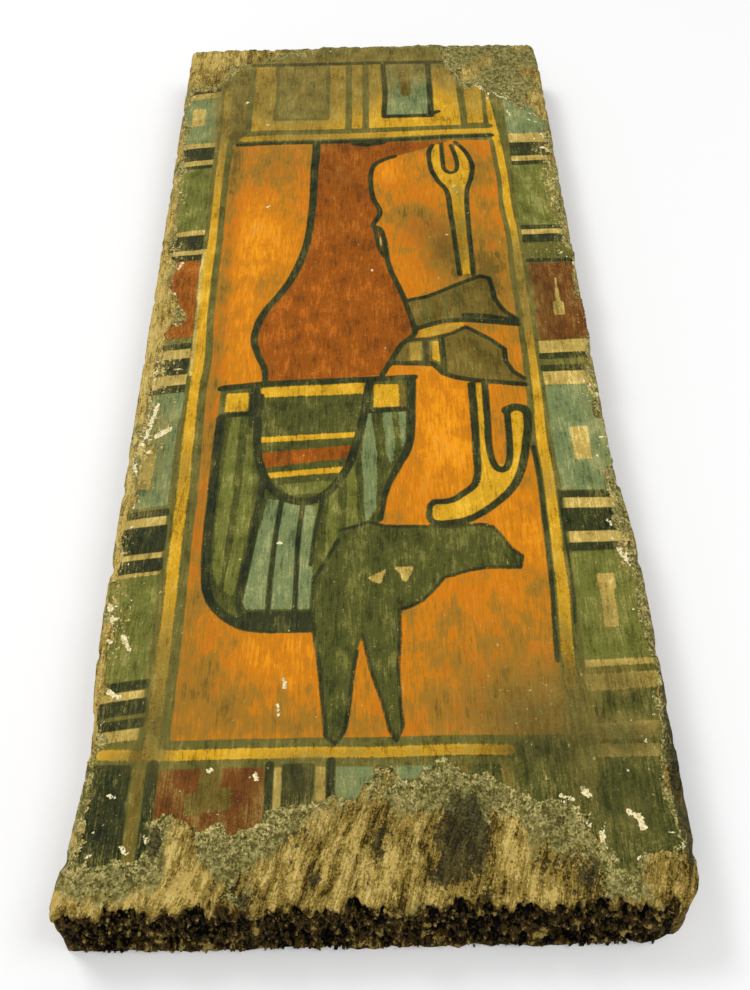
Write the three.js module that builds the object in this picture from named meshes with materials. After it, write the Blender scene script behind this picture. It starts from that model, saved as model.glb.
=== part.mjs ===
// A painted panel from an ancient wooden coffin: one thick plank, lying on its back with the painted face up.
//
// Units are millimetres. The origin is the middle of the flat underside. +X runs across the plank, +Y runs along it
// from the broken end to the sound end, and +Z is up, out of the painted face.
//
// The plank is one solid. It starts as a box cut into a grid, and every grid point is then moved to where the worn
// plank has it: out to the wandering sides, round the four worn corners, into the frayed end, and down where the
// painted ground has flaked away from the wood.

import * as THREE from 'three';
import { mergeVertices } from 'three/addons/utils/BufferGeometryUtils.js';

// ---- Driving dimensions ------------------------------------------------------------------------------------------

// The plank before wear. x and y are measured from the middle line of the painted design.
const LEFT_SIDE = -108;
const RIGHT_SIDE = 110;
const SOUND_END = 265;
const BROKEN_END = -259.5; // where the painted face stops
const THICKNESS = 28;

// The broken end slopes outwards as it goes down, and its fibres have crumbled into notches.
const BREAK_RUNOUT = 4.5;
const NOTCH_DEPTH = 2.4;

// Wear of the outline.
const LEFT_WAIST = { depth: 3, at: -203, reach: 27 };
const LEFT_FLARE = { depth: 3.4, at: -256, reach: 17 };
const RIGHT_SWELL = { depth: 4.6, from: -55, to: -125 };
const RIGHT_TAPER = { depth: 2.4, from: 225, to: 262 };
const SOUND_END_DIP = { depth: 3.6, from: -40, to: -100 };
const SIDE_WAVE = 0.5;
const SIDE_ROUGHNESS = 0.6;

// Worn corners, seen from above, and the worn edge round the painted face.
const CORNER_RADIUS = { brokenLeft: 9, brokenRight: 16, soundLeft: 5, soundRight: 6 };
const EDGE_DROP = 2.2;
const EDGE_REACH = 4;

// The painted ground: a skin of plaster over the wood, lost along the broken end, the sides and two corners.
const GROUND_DEPTH = 1;
const WOOD_EROSION = 2.6; // how much further the bare wood has sunk by the time it reaches the broken end
const LOSS_FADE = 8;
const SIDE_LOSS = 4;
const LOSS_LINE = { y: -238, rise: 26, at: 14, reach: 46 };
const CORNER_LOSS = 46;

// The grid. It is closer near the edges, where the wear is, than in the middle.
const CELLS_ACROSS = 32;
const CELLS_ALONG = 60;
const CELLS_DEEP = 3;
const CROWDING = 1.25; // radians of a sine: 0 would be even spacing

// ---- Small helpers -----------------------------------------------------------------------------------------------

const lerp = THREE.MathUtils.lerp;
const clamp = THREE.MathUtils.clamp;

// 0 at from, 1 at to, smooth between, whichever of the two is larger.
const ramp = (value, from, to) => {
	const t = clamp((value - from) / (to - from), 0, 1);
	return t * t * (3 - 2 * t);
};

// A smooth hump of height 1.
const hump = (value, centre, reach) => Math.exp(-(((value - centre) / reach) ** 2));

// An uneven wave between about -1 and 1: three sines whose lengths don't divide each other.
const wander = (value, length, phase) => {
	const turn = (2 * Math.PI * value) / length;
	return (Math.sin(turn + phase) + 0.6 * Math.sin(2.3 * turn + 2 * phase) + 0.4 * Math.sin(5.1 * turn)) / 2;
};

const crowd = (t) => Math.sin(t * CROWDING) / Math.sin(CROWDING);

// ---- The outline -------------------------------------------------------------------------------------------------

function leftSide(y) {
	const waist = LEFT_WAIST.depth * hump(y, LEFT_WAIST.at, LEFT_WAIST.reach);
	const flare = LEFT_FLARE.depth * hump(y, LEFT_FLARE.at, LEFT_FLARE.reach);
	return LEFT_SIDE + waist - flare + SIDE_WAVE * wander(y, 71, 0.4);
}

function rightSide(y) {
	const swell = RIGHT_SWELL.depth * ramp(y, RIGHT_SWELL.from, RIGHT_SWELL.to);
	const taper = RIGHT_TAPER.depth * ramp(y, RIGHT_TAPER.from, RIGHT_TAPER.to);
	return RIGHT_SIDE + swell - taper + SIDE_WAVE * wander(y, 83, 2.1);
}

function soundEnd(x) {
	const dip = SOUND_END_DIP.depth * ramp(x, SOUND_END_DIP.from, SOUND_END_DIP.to);
	return SOUND_END - dip + 1.3 * SIDE_WAVE * wander(x, 47, 1.3);
}

// height is 0 at the underside and 1 at the painted face.
function brokenEnd(x, height) {
	const notch = NOTCH_DEPTH * Math.abs(wander(x, 17, 0.7)) * (0.45 + 0.55 * height);
	return BROKEN_END - BREAK_RUNOUT * (1 - height) ** 1.4 + notch;
}

// Pulls a point in the square block at a corner onto a quarter disc, leaving the block's inner edges where they are.
function roundCorner(point, cornerX, cornerY, radius) {
	const sideX = Math.sign(cornerX);
	const sideY = Math.sign(cornerY);
	const a = (point.x - (cornerX - sideX * radius)) / (sideX * radius);
	const b = (point.y - (cornerY - sideY * radius)) / (sideY * radius);
	if (a <= 0 || b <= 0) return;
	point.x = cornerX - sideX * radius * (1 - a * Math.sqrt(1 - (b * b) / 2));
	point.y = cornerY - sideY * radius * (1 - b * Math.sqrt(1 - (a * a) / 2));
}

// ---- The painted face --------------------------------------------------------------------------------------------

// 1 where the painted ground is gone, 0 where it holds, smooth between.
function groundLost(x, y) {
	const line = LOSS_LINE.y + LOSS_LINE.rise * hump(x, LOSS_LINE.at, LOSS_LINE.reach) + 3 * wander(x, 33, 0.9);
	const atBreak = ramp(y, line + LOSS_FADE / 2, line - LOSS_FADE / 2);
	const inset = Math.min(x - leftSide(y), rightSide(y) - x) - SIDE_LOSS;
	const atSide = ramp(inset, LOSS_FADE / 2, -LOSS_FADE / 2);
	const toLeftCorner = SOUND_END - y + (x - LEFT_SIDE);
	const toRightCorner = SOUND_END - y + (RIGHT_SIDE - x);
	const atCorner = ramp(Math.min(toLeftCorner, toRightCorner), CORNER_LOSS + LOSS_FADE, CORNER_LOSS - LOSS_FADE);
	return Math.max(atBreak, atSide, atCorner);
}

function faceHeight(x, y, inset) {
	const erosion = WOOD_EROSION * ramp(y, LOSS_LINE.y, BROKEN_END);
	const edge = EDGE_DROP * (1 - clamp(inset / EDGE_REACH, 0, 1)) ** 2;
	return THICKNESS - GROUND_DEPTH * groundLost(x, y) - erosion - edge;
}

// ---- The plank ---------------------------------------------------------------------------------------------------

// across and along run from -1 to 1, and height from 0 to 1.
function plankPoint(across, along, height) {
	const u = (crowd(across) + 1) / 2;
	const v = (crowd(along) + 1) / 2;
	const midX = lerp(LEFT_SIDE, RIGHT_SIDE, u);
	const y = lerp(brokenEnd(midX, height), soundEnd(midX), v);
	const left = leftSide(y);
	const right = rightSide(y);
	const point = new THREE.Vector3(lerp(left, right, u), y, 0);

	const { brokenLeft, brokenRight, soundLeft, soundRight } = CORNER_RADIUS;
	roundCorner(point, left, brokenEnd(left, height), brokenLeft);
	roundCorner(point, right, brokenEnd(right, height), brokenRight);
	roundCorner(point, left, soundEnd(left), soundLeft);
	roundCorner(point, right, soundEnd(right), soundRight);

	// The sides' own roughness pulls the points between the two faces inwards a little.
	const onSide = Math.abs(across) > 0.999 && height > 0.01;
	if (onSide) point.x -= Math.sign(across) * SIDE_ROUGHNESS * Math.abs(wander(point.y + 40 * height, 29, height));

	const inset = Math.min(u * (right - left), (1 - u) * (right - left), v * (SOUND_END - BROKEN_END));
	point.z = height * faceHeight(point.x, point.y, inset);
	return point;
}

function plankGeometry() {
	const box = new THREE.BoxGeometry(2, 2, 1, CELLS_ACROSS, CELLS_ALONG, CELLS_DEEP);
	box.deleteAttribute('normal');
	box.deleteAttribute('uv');
	const geometry = mergeVertices(box);
	const grid = geometry.getAttribute('position');
	for (let i = 0; i < grid.count; i++) {
		const point = plankPoint(grid.getX(i), grid.getY(i), grid.getZ(i) + 0.5);
		grid.setXYZ(i, point.x, point.y, point.z);
	}

	// The origin moves from the middle of the painted design to the middle of the underside.
	geometry.computeBoundingBox();
	const middle = geometry.boundingBox.getCenter(new THREE.Vector3());
	geometry.translate(-middle.x, -middle.y, 0);
	geometry.computeVertexNormals();
	return geometry;
}

const wood = new THREE.MeshStandardMaterial({ color: '#8a6a35', roughness: 0.75, metalness: 0 });

const panel = new THREE.Mesh(plankGeometry(), wood);
panel.name = 'painted_plank';

const object = new THREE.Group();
object.add(panel);

export default object;
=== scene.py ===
# %% [markdown]
# # A painted panel from an ancient coffin
#
# This lesson builds one old plank: a thick board, painted on a skin of plaster with a jackal-headed
# figure, its near end broken and frayed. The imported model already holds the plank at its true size. Here
# it gets its looks, from the inside out: the worn wood, the loose fibre ends at its break, the skin of
# plaster, and the picture on that skin.

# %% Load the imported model
import math

import bmesh
import bpy
import numpy as np
from mathutils import Matrix, Vector


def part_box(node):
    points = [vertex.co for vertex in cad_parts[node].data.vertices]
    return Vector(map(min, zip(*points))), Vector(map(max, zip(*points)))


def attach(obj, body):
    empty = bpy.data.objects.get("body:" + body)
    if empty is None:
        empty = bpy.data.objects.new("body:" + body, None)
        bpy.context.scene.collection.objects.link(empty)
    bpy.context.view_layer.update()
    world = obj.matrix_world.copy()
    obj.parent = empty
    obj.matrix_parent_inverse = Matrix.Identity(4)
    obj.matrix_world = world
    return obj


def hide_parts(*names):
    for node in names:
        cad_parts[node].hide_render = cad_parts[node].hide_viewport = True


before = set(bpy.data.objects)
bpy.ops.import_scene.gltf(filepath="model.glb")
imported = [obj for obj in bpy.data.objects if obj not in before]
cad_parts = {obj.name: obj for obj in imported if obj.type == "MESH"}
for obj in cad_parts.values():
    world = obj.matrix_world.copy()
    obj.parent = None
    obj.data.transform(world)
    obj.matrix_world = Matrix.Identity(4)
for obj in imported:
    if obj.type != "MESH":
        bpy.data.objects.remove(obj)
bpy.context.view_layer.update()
plank_low, plank_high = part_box("painted_plank")
print("the plank is", [round(1000 * (h - l), 1) for l, h in zip(plank_low, plank_high)], "mm")

# %% [markdown]
# ## Measures
#
# A painter's panel is easiest to lay out in millimetres, from the middle line of its design. The plank's
# box is a little off that line, because its right side swells more than its left. So every place is
# worked out in the design's own millimetres, and one function turns them into the model's metres at the
# very end.

# %% Measures of the plank, in millimetres
MM = 0.001
LEFT_REACH = 111.47  # from the plank's left side to the middle of the design
NEAR_REACH = 264.0  # from the foot of the broken end to the middle of the design
MIDDLE = np.array([plank_low[0] / MM + LEFT_REACH, plank_low[1] / MM + NEAR_REACH, plank_low[2] / MM])
THICKNESS = (plank_high[2] - plank_low[2]) / MM

LEFT_SIDE, RIGHT_SIDE = -109.2, 111.2
NEAR_END, FAR_END = -260.6, 265.4


def in_metres(places):
    """The design's millimetres, x across, y along and z up from the underside, as the model's metres."""
    return (places + MIDDLE) * MM


print("the middle of the design is at", np.round(MIDDLE, 2), "mm")

# %% [markdown]
# ## The camera
#
# The panel lies on a table and is seen from its broken end, from about half a metre away. A camera is set
# by where it stands and by three turns: how far it tips up from looking straight down, how far it turns
# aside, and how far it leans.

# %% The camera
CAMERA_PLACE = np.array([4.4, -336.9, 363.6 + THICKNESS])
TIP, TURN, LEAN = math.radians(34.68), math.radians(0.18), math.radians(-1.13)
FILM_WIDTH, FOCAL_LENGTH = 36, 36.36
NEAREST_SEEN = 0.01  # in metres

camera = bpy.data.objects.new("camera", bpy.data.cameras.new("camera"))
camera.data.sensor_width = FILM_WIDTH
camera.data.lens = FOCAL_LENGTH
camera.data.clip_start = NEAREST_SEEN
turned = Matrix.Rotation(TURN, 4, "Z") @ Matrix.Rotation(TIP, 4, "X") @ Matrix.Rotation(LEAN, 4, "Z")
camera.matrix_world = Matrix.Translation(Vector(in_metres(CAMERA_PLACE))) @ turned
bpy.context.collection.objects.link(camera)
bpy.context.scene.camera = camera
print("the camera stands", round(camera.location.z, 3), "m above the table")

# %% [markdown]
# ## The table and the light
#
# Museum pictures are lit by big soft lamps over a white table, so that no hard shadow hides the paint.
# The strongest of three stands beyond the far left corner and gives the varnish a faint sheen. A weak one
# on the right softens the shadow, a weak one in front lights the broken end, and a pale sky fills the
# rest.

# %% The floor and the lamps
LAMPS = {  # name: place in metres, width in metres, power in watts
    "lamp_far_left": ((-1.3, 1.3, 2.0), 0.8, 26),
    "lamp_right": ((1.2, 0.1, 1.9), 1.0, 12),
    "lamp_near": ((-0.3, -1.5, 1.7), 1.2, 12),
}
SKY_WHITE, SKY_STRENGTH = (1, 1, 1, 1), 0.48
TABLE_WHITE, TABLE_ROUGHNESS = (0.93, 0.93, 0.93, 1), 0.6
TABLE_REACH = 4  # in metres


def mesh_of(shape, name):
    """Turns a shape that was made with mesh operators into a mesh, and lets the shape go."""
    mesh = bpy.data.meshes.new(name)
    shape.to_mesh(mesh)
    shape.free()
    return mesh


def into_scene(name, data):
    made = bpy.data.objects.new(name, data)
    bpy.context.collection.objects.link(made)
    return made


for name, (place, width, power) in LAMPS.items():
    light = bpy.data.lights.new(name, "AREA")
    light.size, light.energy = width, power
    lamp = into_scene(name, light)
    lamp.location = place
    lamp.rotation_euler = (-Vector(place)).to_track_quat("-Z", "Y").to_euler()  # it shines at the plank

sky = bpy.data.worlds.new("pale_room")
sky.use_nodes = True
sky.node_tree.nodes["Background"].inputs["Color"].default_value = SKY_WHITE
sky.node_tree.nodes["Background"].inputs["Strength"].default_value = SKY_STRENGTH
bpy.context.scene.world = sky
bpy.context.scene.view_settings.view_transform = "Standard"

floor_shape = bmesh.new()
bmesh.ops.create_grid(floor_shape, x_segments=1, y_segments=1, size=TABLE_REACH)
floor = into_scene("table_top", mesh_of(floor_shape, "table_top"))
paint = bpy.data.materials.new("white_table")
paint.use_nodes = True
paint.node_tree.nodes["Principled BSDF"].inputs["Base Color"].default_value = TABLE_WHITE
paint.node_tree.nodes["Principled BSDF"].inputs["Roughness"].default_value = TABLE_ROUGHNESS
floor.data.materials.append(paint)
print(len(LAMPS), "lamps and a white table")

# %% [markdown]
# ## Rough numbers
#
# Wood, plaster and flaked paint are all uneven, and each has its own size of lump. One helper gives a
# smooth random height at any place. Its lump size can differ by direction, which is how a number becomes
# grain: long along the plank, thin across it.

# %% Smooth random heights
LATTICE = np.random.default_rng(11).uniform(-1, 1, (32, 32, 32))


def lumps(places, size, octaves=1):
    """A smooth random height, about -1 to 1, at each place. size is a lump's length, for each axis."""
    total = np.zeros(len(places))
    weight = 0.0
    for octave in range(octaves):
        at = places * 2**octave / np.array(size, float) + 5.37 * octave
        low = np.floor(at).astype(int)
        part = at - low
        part = part * part * (3 - 2 * part)
        for corner in np.ndindex(2, 2, 2):
            share = np.prod(np.where(corner, part, 1 - part), axis=1)
            total += share * LATTICE[tuple((low + corner).T % 32)] / 2**octave
        weight += 0.5**octave
    return 1.6 * total / weight  # smooth averages rarely near 1, so they are stretched a little


def joined(*columns):
    """One row of x, y and z for each place. A single number is the same at every place."""
    return np.stack(np.broadcast_arrays(*columns), 1).astype(float)


def chunks(places, size):
    """A random height that is the same all over each chunk, for broken fibre ends. Their edges wander."""
    shift = joined(*(lumps(places + 31 * k, size) for k in range(3)))
    wandering = places + shift * np.array(size, float) * 0.45
    low = np.floor(wandering / np.array(size, float)).astype(int)
    return LATTICE[tuple(low.T % 32)]


def ramp(value, start, end):
    """0 at start and 1 at end, whichever is larger, and smooth between."""
    t = np.clip((value - start) / (end - start), 0, 1)
    return t * t * (3 - 2 * t)


def hump(value, centre, reach):
    return np.exp(-(((value - centre) / reach) ** 2))


print("a lump table of", LATTICE.size, "numbers")

# %% [markdown]
# ## The outline of the plank
#
# The sides of an old plank wander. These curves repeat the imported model's outline: straight lines with a
# waist, a flare and a swell in them. Finer raggedness is only ever taken off the wood, never added, so
# the plank stays inside its box.

# %% The sides, the ends and the corners
# The radius of each corner: left is -1 and right is 1, and the broken end is -1 and the sound end is 1.
CORNERS = {(-1, -1): 2.4, (1, -1): 14.0, (-1, 1): 4.0, (1, 1): 6.0}
RUNOUT = 5.6  # how much further the broken end reaches at its foot


def left_side(y):
    return LEFT_SIDE + 3.0 * hump(y, -203, 27) - 3.0 * hump(y, -256, 15)


def right_side(y):
    return RIGHT_SIDE + 4.6 * ramp(y, -55, -125) - 1.4 * ramp(y, 232, 262)


def far_end(x):
    return FAR_END - 1.4 * ramp(x, -80, -104) + 1.2 * ramp(np.abs(x), 15, 50)


def near_end(height):
    """height is 0 at the underside and 1 at the top."""
    return NEAR_END - RUNOUT * (1 - height) ** 1.4


def rounded_corners(x, y, height):
    """Pulls the square corners in to quarter discs, and leaves everything else where it is."""
    for (side, end), radius in CORNERS.items():
        edge_x = right_side(y) if side > 0 else left_side(y)
        edge_y = far_end(x) if end > 0 else near_end(height)
        a = np.clip(1 - side * (edge_x - x) / radius, 0, 1)
        b = np.clip(1 - end * (edge_y - y) / radius, 0, 1)
        both = (a > 0) & (b > 0)
        x = np.where(both, edge_x - side * radius * (1 - a * np.sqrt(1 - b * b / 2)), x)
        y = np.where(both, edge_y - end * radius * (1 - b * np.sqrt(1 - a * a / 2)), y)
    return x, y


def plank_plan(u, v, height):
    """Where a point of the plain block goes, seen from above: u and v run from 0 to 1 across and along."""
    near = near_end(height)
    first_y = near + v * (FAR_END - near)
    first_x = left_side(first_y) + u * (right_side(first_y) - left_side(first_y))
    y = near + v * (far_end(first_x) - near)
    x = left_side(y) + u * (right_side(y) - left_side(y))
    return rounded_corners(x, y, height)


print("the plank is", round(float(right_side(0) - left_side(0)), 1), "mm wide at its middle")

# %% [markdown]
# ## Drawing with distances
#
# A painted shape could be a picture stuck on, but then it would blur close up. Here each shape answers
# one question instead: how far inside it is this place, in millimetres? Above zero is paint, below zero
# is none, and the number in between lets the finish roughen an edge, thin the paint near it, or raise it.
# A patch, a brush stroke and a polygon are enough for the whole picture.

# %% The brush
FAR_OUTSIDE = -99.0  # millimetres, for a place with no paint near it


class Drawing:
    """Shapes drawn on a set of places. Each says how far inside it every place is, in millimetres."""

    def __init__(self, x, y):
        self.x, self.y = x, y

    def patch(self, left, right, low, high, lean=0.0, corner=0.0):
        """A rectangle. lean is how much it climbs for each millimetre to the right."""
        y = self.y - lean * (self.x - (left + right) / 2)
        dx = np.abs(self.x - (left + right) / 2) - (right - left) / 2 + corner
        dy = np.abs(y - (low + high) / 2) - (high - low) / 2 + corner
        outer = np.hypot(np.maximum(dx, 0), np.maximum(dy, 0))
        return corner - outer - np.minimum(np.maximum(dx, dy), 0)

    def to_segment(self, start, end):
        """The distance to a straight line between two points, and how far along it the nearest place is."""
        run = np.subtract(end, start)
        along = ((self.x - start[0]) * run[0] + (self.y - start[1]) * run[1]) / max(float(run @ run), 1e-9)
        along = np.clip(along, 0, 1)
        return np.hypot(self.x - start[0] - along * run[0], self.y - start[1] - along * run[1]), along

    def stroke(self, width, *points):
        """A brush stroke through these points, with round ends. width is one number, or one for each end."""
        start_width, end_width = width if isinstance(width, tuple) else (width, width)
        widths = np.linspace(start_width, end_width, len(points))
        found = np.full(len(self.x), FAR_OUTSIDE)
        for (start, end), (first, last) in zip(zip(points, points[1:]), zip(widths, widths[1:])):
            away, along = self.to_segment(start, end)
            found = np.maximum(found, (first + along * (last - first)) / 2 - away)
        return found

    def polygon(self, *points):
        nearest = np.full(len(self.x), np.inf)
        inside = np.zeros(len(self.x), bool)
        for (x0, y0), (x1, y1) in zip(points, points[1:] + points[:1]):
            nearest = np.minimum(nearest, self.to_segment((x0, y0), (x1, y1))[0])
            crosses = (y0 > self.y) != (y1 > self.y)
            rise = y1 - y0 if y1 != y0 else 1
            inside ^= crosses & (self.x < x0 + (self.y - y0) * (x1 - x0) / rise)
        return np.where(inside, nearest, -nearest)


CURVE_STEPS = 4


def curve(*points):
    """More points on a smooth curve through these ones, with CURVE_STEPS for each stretch between two."""
    given = [np.array(p, float) for p in points]
    chain = [2 * given[0] - given[1], *given, 2 * given[-1] - given[-2]]
    found = []
    for a, b, c, d in zip(chain, chain[1:], chain[2:], chain[3:]):
        for t in np.arange(CURVE_STEPS) / CURVE_STEPS:
            found.append(b + 0.5 * t * (c - a + t * (2 * a - 5 * b + 4 * c - d + t * (3 * (b - c) + d - a))))
    return [tuple(p) for p in found + given[-1:]]


def union(*shapes):
    return np.maximum.reduce(shapes)


def without(shape, *others):
    return np.minimum.reduce([shape, *(-o for o in others)])


print("a patch, a stroke, a polygon, and a curve to feed them")

# %% [markdown]
# ## The picture, one part at a time
#
# The painter laid down flat areas of colour first and drew the dark outlines last. The finish lays its
# coats in that order too. Here each part of the design adds its own shapes to the coats they belong to,
# so within one coat the order doesn't matter. The figure lies head down, towards the broken end.

# %% The coats of paint, from the first laid to the last
COATS = ("ochre", "dark", "green", "blue", "red", "maroon", "brown", "cream", "yellow", "edging", "line")
FIELD = (-76.5, 76.0, -197.0, 166.0)  # the ground behind the figure: left, right, low, high


class Picture(Drawing):
    """A drawing whose shapes are kept in coats of paint. Several shapes of one kind can be laid at a time."""

    def __init__(self, x, y):
        super().__init__(x, y)
        self.coats = {coat: np.full(len(x), FAR_OUTSIDE) for coat in COATS}

    def lay(self, coat, *shapes):
        self.coats[coat] = union(self.coats[coat], *shapes)

    def patches(self, coat, *rows):
        """Each row is left, right, low and high, and a lean and a corner where the patch has them."""
        self.lay(coat, *(self.patch(*row) for row in rows))

    def strokes(self, coat, *rows):
        """Each row is a width and the stroke's points."""
        self.lay(coat, *(self.stroke(*row) for row in rows))

    def polygons(self, coat, *rows):
        self.lay(coat, *(self.polygon(*row) for row in rows))


def paint_field(p):
    """The orange ground behind the figure, and the brown strip at the foot of the picture."""
    p.patches("ochre", FIELD)
    p.patches("brown", (-84, -70, 170, 234))


def paint_frame(p):
    """Long yellow bands between dark lines, round the field."""
    p.strokes("yellow",
              (4.9, (-81.6, 216), (-81.7, 0), (-82, -110), (-82.6, -200)),
              ((3.9, 4.8), (71.6, 217), (74.2, 206), (76.2, 190), (77.4, 165), (79.6, 135), (80.9, 60),
               (81.4, 0), (81, -80), (80.4, -135), (79.4, -176)),
              (4.1, (-101, -202.2), (53, -202.6)))
    p.strokes("cream", (2.2, (-85, 76), (-85, -12)))
    p.strokes("edging",
              (1.6, (-84.6, 216), (-84.8, 84)),
              (2.0, (-86.4, -40), (-87, -200)),
              (3.6, (-78, 165), (-77.6, 20), (-77.1, -40), (-77, -110), (-77.8, -196)),
              (2.7, (74.3, 165), (76.3, 130), (77.3, 80), (77.4, 35), (77, -80), (76.6, -120)),
              (2.2, (81.5, 165), (82.8, 125), (84.2, 60), (84.6, -60), (85.4, -105), (84.5, -170)),
              (3.3, (-77, -198.2), (54, -198.4)),
              (3.0, (-101, -206.4), (56, -206.6)))
    p.strokes("line",
              (2.2, (77, -60), (76.8, -110), (76, -140), (75.4, -166)),
              (1.4, (84.6, -84), (84.8, -120), (84, -150)))


def paint_foot_boxes(p):
    """The two framed boxes beyond the figure's feet, and the long lines under them."""
    p.patches("green", (-53, -21, 188, 244))
    p.patches("blue", (12, 42, 191, 246))
    p.patches("brown", (-42, 46, 248.5, 254, 0.02), (-52, -22, 230, 244), (-42, -33, 204, 232))
    p.strokes("brown", (7, (26, 246), (26, 214)))
    p.patches("yellow", (-66, -53, 179, 244), (-22, -11, 179, 244), (-66, -11, 178.6, 188),
              (-7, 11.5, 178.5, 246), (43.5, 57.5, 182, 240), (12, 57.5, 179.5, 189), (61, 71.5, 183, 224))
    p.strokes("yellow", (4.6, (-70, 171.2), (0, 172.4), (75, 175.4)))
    p.strokes("edging",
              (3.6, (-70, 176.4), (0, 177.4), (75, 179.8)),
              (3.4, (-68, 241), (-68, 175)),
              (2.4, (-52.5, 244), (-52.5, 189), (-21.5, 189), (-21.5, 244)),
              (3.4, (-9, 176), (-9, 247)),
              (4.0, (1.2, 177), (1.2, 247)),
              (4.0, (59.7, 250), (59.7, 180)),
              (2.6, (73, 224), (73, 182)))
    p.strokes("line",
              (3.2, (-73, 165.6), (0, 167.2), (75, 170.6)),
              (3.4, (-68, 245.5), (62, 246.5)),
              (3.4, (13, 246), (13, 190.8), (41.3, 190.8), (41.3, 246)),
              (3.0, (41.3, 192), (45.5, 194.5)))


print(len(COATS), "coats of paint; the field is", FIELD[1] - FIELD[0], "mm wide")

# %% [markdown]
# ## The borders
#
# A row of coloured blocks runs down each side. Between two blocks lie pale and dark stripes. They are
# nearly the same left and right, but the brush was quick, so each stripe has its own height, and those on
# the left climb a little.

# %% The borders
# For each coat, where each of its blocks or stripes begins and ends along the plank.
LEFT_BORDER = {
    "blue": [(167, 212), (-90, -24)],
    "green": [(91, 143.5), (-173, -125)],
    "red": [(11, 67)],
    "line": [
        (216.8, 220.6), (151, 162.5), (143.5, 146.5), (75, 87), (67, 71.5), (3.4, 7.3), (-13.6, -3),
        (-24.5, -20), (-95.5, -91.5), (-114, -100), (-123.6, -117), (-177, -172.7), (-187, -180.5),
        (-192.7, -188.6),
    ],
    "cream": [
        (211, 217), (162.5, 167), (146.5, 151), (86.5, 91), (71.5, 75.5), (-3, 3.4), (-20, -13.6),
        (-100.5, -95), (-117, -113.6), (-125.5, -123.6), (-182, -177), (-197.3, -192.7),
    ],
}
RIGHT_BORDER = {
    "blue": [(172, 217), (-83.6, -23)],
    "green": [(91, 145.5), (-166, -116)],
    "maroon": [(7, 61.5)],
    "line": [
        (151.4, 163.4), (143.5, 147), (87.5, 91), (77, 83.4), (62, 65), (-6, -1.8), (-14, -9.8),
        (-88, -84.3), (-105.7, -93.6), (-115.6, -111.4),
    ],
    "cream": [
        (163.4, 172.2), (147, 151.4), (83.4, 87.5), (-2, 6.4), (-22.8, -14), (-93.6, -88),
        (-111.6, -105.8), (-168.8, -166), (-178.6, -171.8), (-199, -192), (-206, -201),
    ],
}
LEFT_STRIP, LEFT_LEAN = (-110, -86.5), 0.13
RIGHT_STRIP, RIGHT_LEAN = (84.5, 114), 0.02
BLOCK_CORNER, STRIPE_CORNER = 2.5, 0.8


def paint_border(p, strip, lean, border):
    for coat, heights in border.items():
        corner = STRIPE_CORNER if coat in ("line", "cream") else BLOCK_CORNER
        p.patches(coat, *((*strip, low, high, lean, corner) for low, high in heights))


def paint_borders(p):
    paint_border(p, LEFT_STRIP, LEFT_LEAN, LEFT_BORDER)
    paint_border(p, RIGHT_STRIP, RIGHT_LEAN, RIGHT_BORDER)
    p.patches("dark", (*RIGHT_STRIP, -191, -179, RIGHT_LEAN))
    # Small marks in the middle of some blocks.
    p.patches("cream", (-102.5, -94.7, 184, 200.5, 0.1), (-102, -95.6, -80, -56, 0, 1), (94, 102, -67, -48.6),
              (95.2, 100.6, 23.5, 33, 0, 1), (94.6, 102.8, -134.5, -127), (95.5, 101.5, -152, -134))
    p.strokes("cream", ((2.4, 0.8), (98, 30), (98.4, 50)))


def paint_head_frieze(p):
    """The row of blocks between the figure's head and the broken end."""
    p.patches("dark", (23, 50, -217, -204.5), (54, 114, -246, -200))
    p.patches("blue", (-13, 23, -221, -206))
    p.patches("maroon", (-79.3, -38.8, -236, -207.3, 0, 3))
    p.patches("brown", (-63, -54.5, -218, -206), (-68, -50.6, -225, -216.6, 0.15), (-1, 18, -220, -213),
              (33.7, 37.4, -212.3, -207.7))
    p.strokes("brown", (3.6, (-85.6, -207), (-86.6, -244)), (3.6, (51.6, -209), (51.6, -228)))
    p.strokes("cream", (3.1, (-34, -209), (-34, -226)), (3.7, (-17.8, -208), (-17.8, -221)))
    p.patches("line", (-104, -88.8, -244, -206, 0, 1), (-32.5, -20.2, -226, -206.6, 0, 1))
    p.strokes("line", (4.4, (-81.4, -206), (-81.4, -246)), (3.2, (-37.2, -207), (-37.2, -229)),
              (3.5, (-14.2, -206), (-14.2, -223)))


for side, border in (("left", LEFT_BORDER), ("right", RIGHT_BORDER)):
    print("the", side, "border has", len(border["line"]), "dark and", len(border["cream"]), "pale stripes")

# %% [markdown]
# ## The figure
#
# It is a standing mummy with a jackal's head, drawn in profile. A red shroud hides the body and the feet.
# The head, the broad collar and the striped wig are dark green, and two hands reach out of the shroud to
# hold a long sceptre.

# %% The shroud and the feet
SHROUD_BACK = curve(
    (-27.5, 166), (-27.7, 130), (-28.2, 108), (-31, 80), (-36.5, 56), (-43, 42), (-50.5, 31), (-54.6, 20),
    (-55.8, 9), (-53, -1), (-49.4, -10), (-48.5, -19),
)
SHROUD_FRONT = curve(
    (8, -15), (11.5, -8), (17.8, 4.5), (24.6, 12), (23.4, 21), (19.2, 40), (13.4, 60), (12.2, 72),
    (11.4, 82), (9.2, 90), (5, 92.6), (7.6, 99), (8.6, 105), (5, 116), (3.7, 132), (6, 145), (15, 151.6),
    (30.5, 157.2), (52, 166),
)


def paint_shroud(p):
    p.polygons("red", (*SHROUD_BACK, *SHROUD_FRONT))
    p.patches("cream", (9, 10.6, 77, 85, 0, 0.8))
    toes = 7  # the last places of the front, over the toes, have no outline
    p.strokes("line",
              ((4.6, 3.4), *SHROUD_BACK),
              (3.0, *SHROUD_FRONT[:-toes]),
              (2.8, (-6, 165), (2, 163.6), (12, 165.6)),
              (2.2, *curve((6, 91), (7.4, 82), (8.6, 74), (12.6, 66))))


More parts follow.
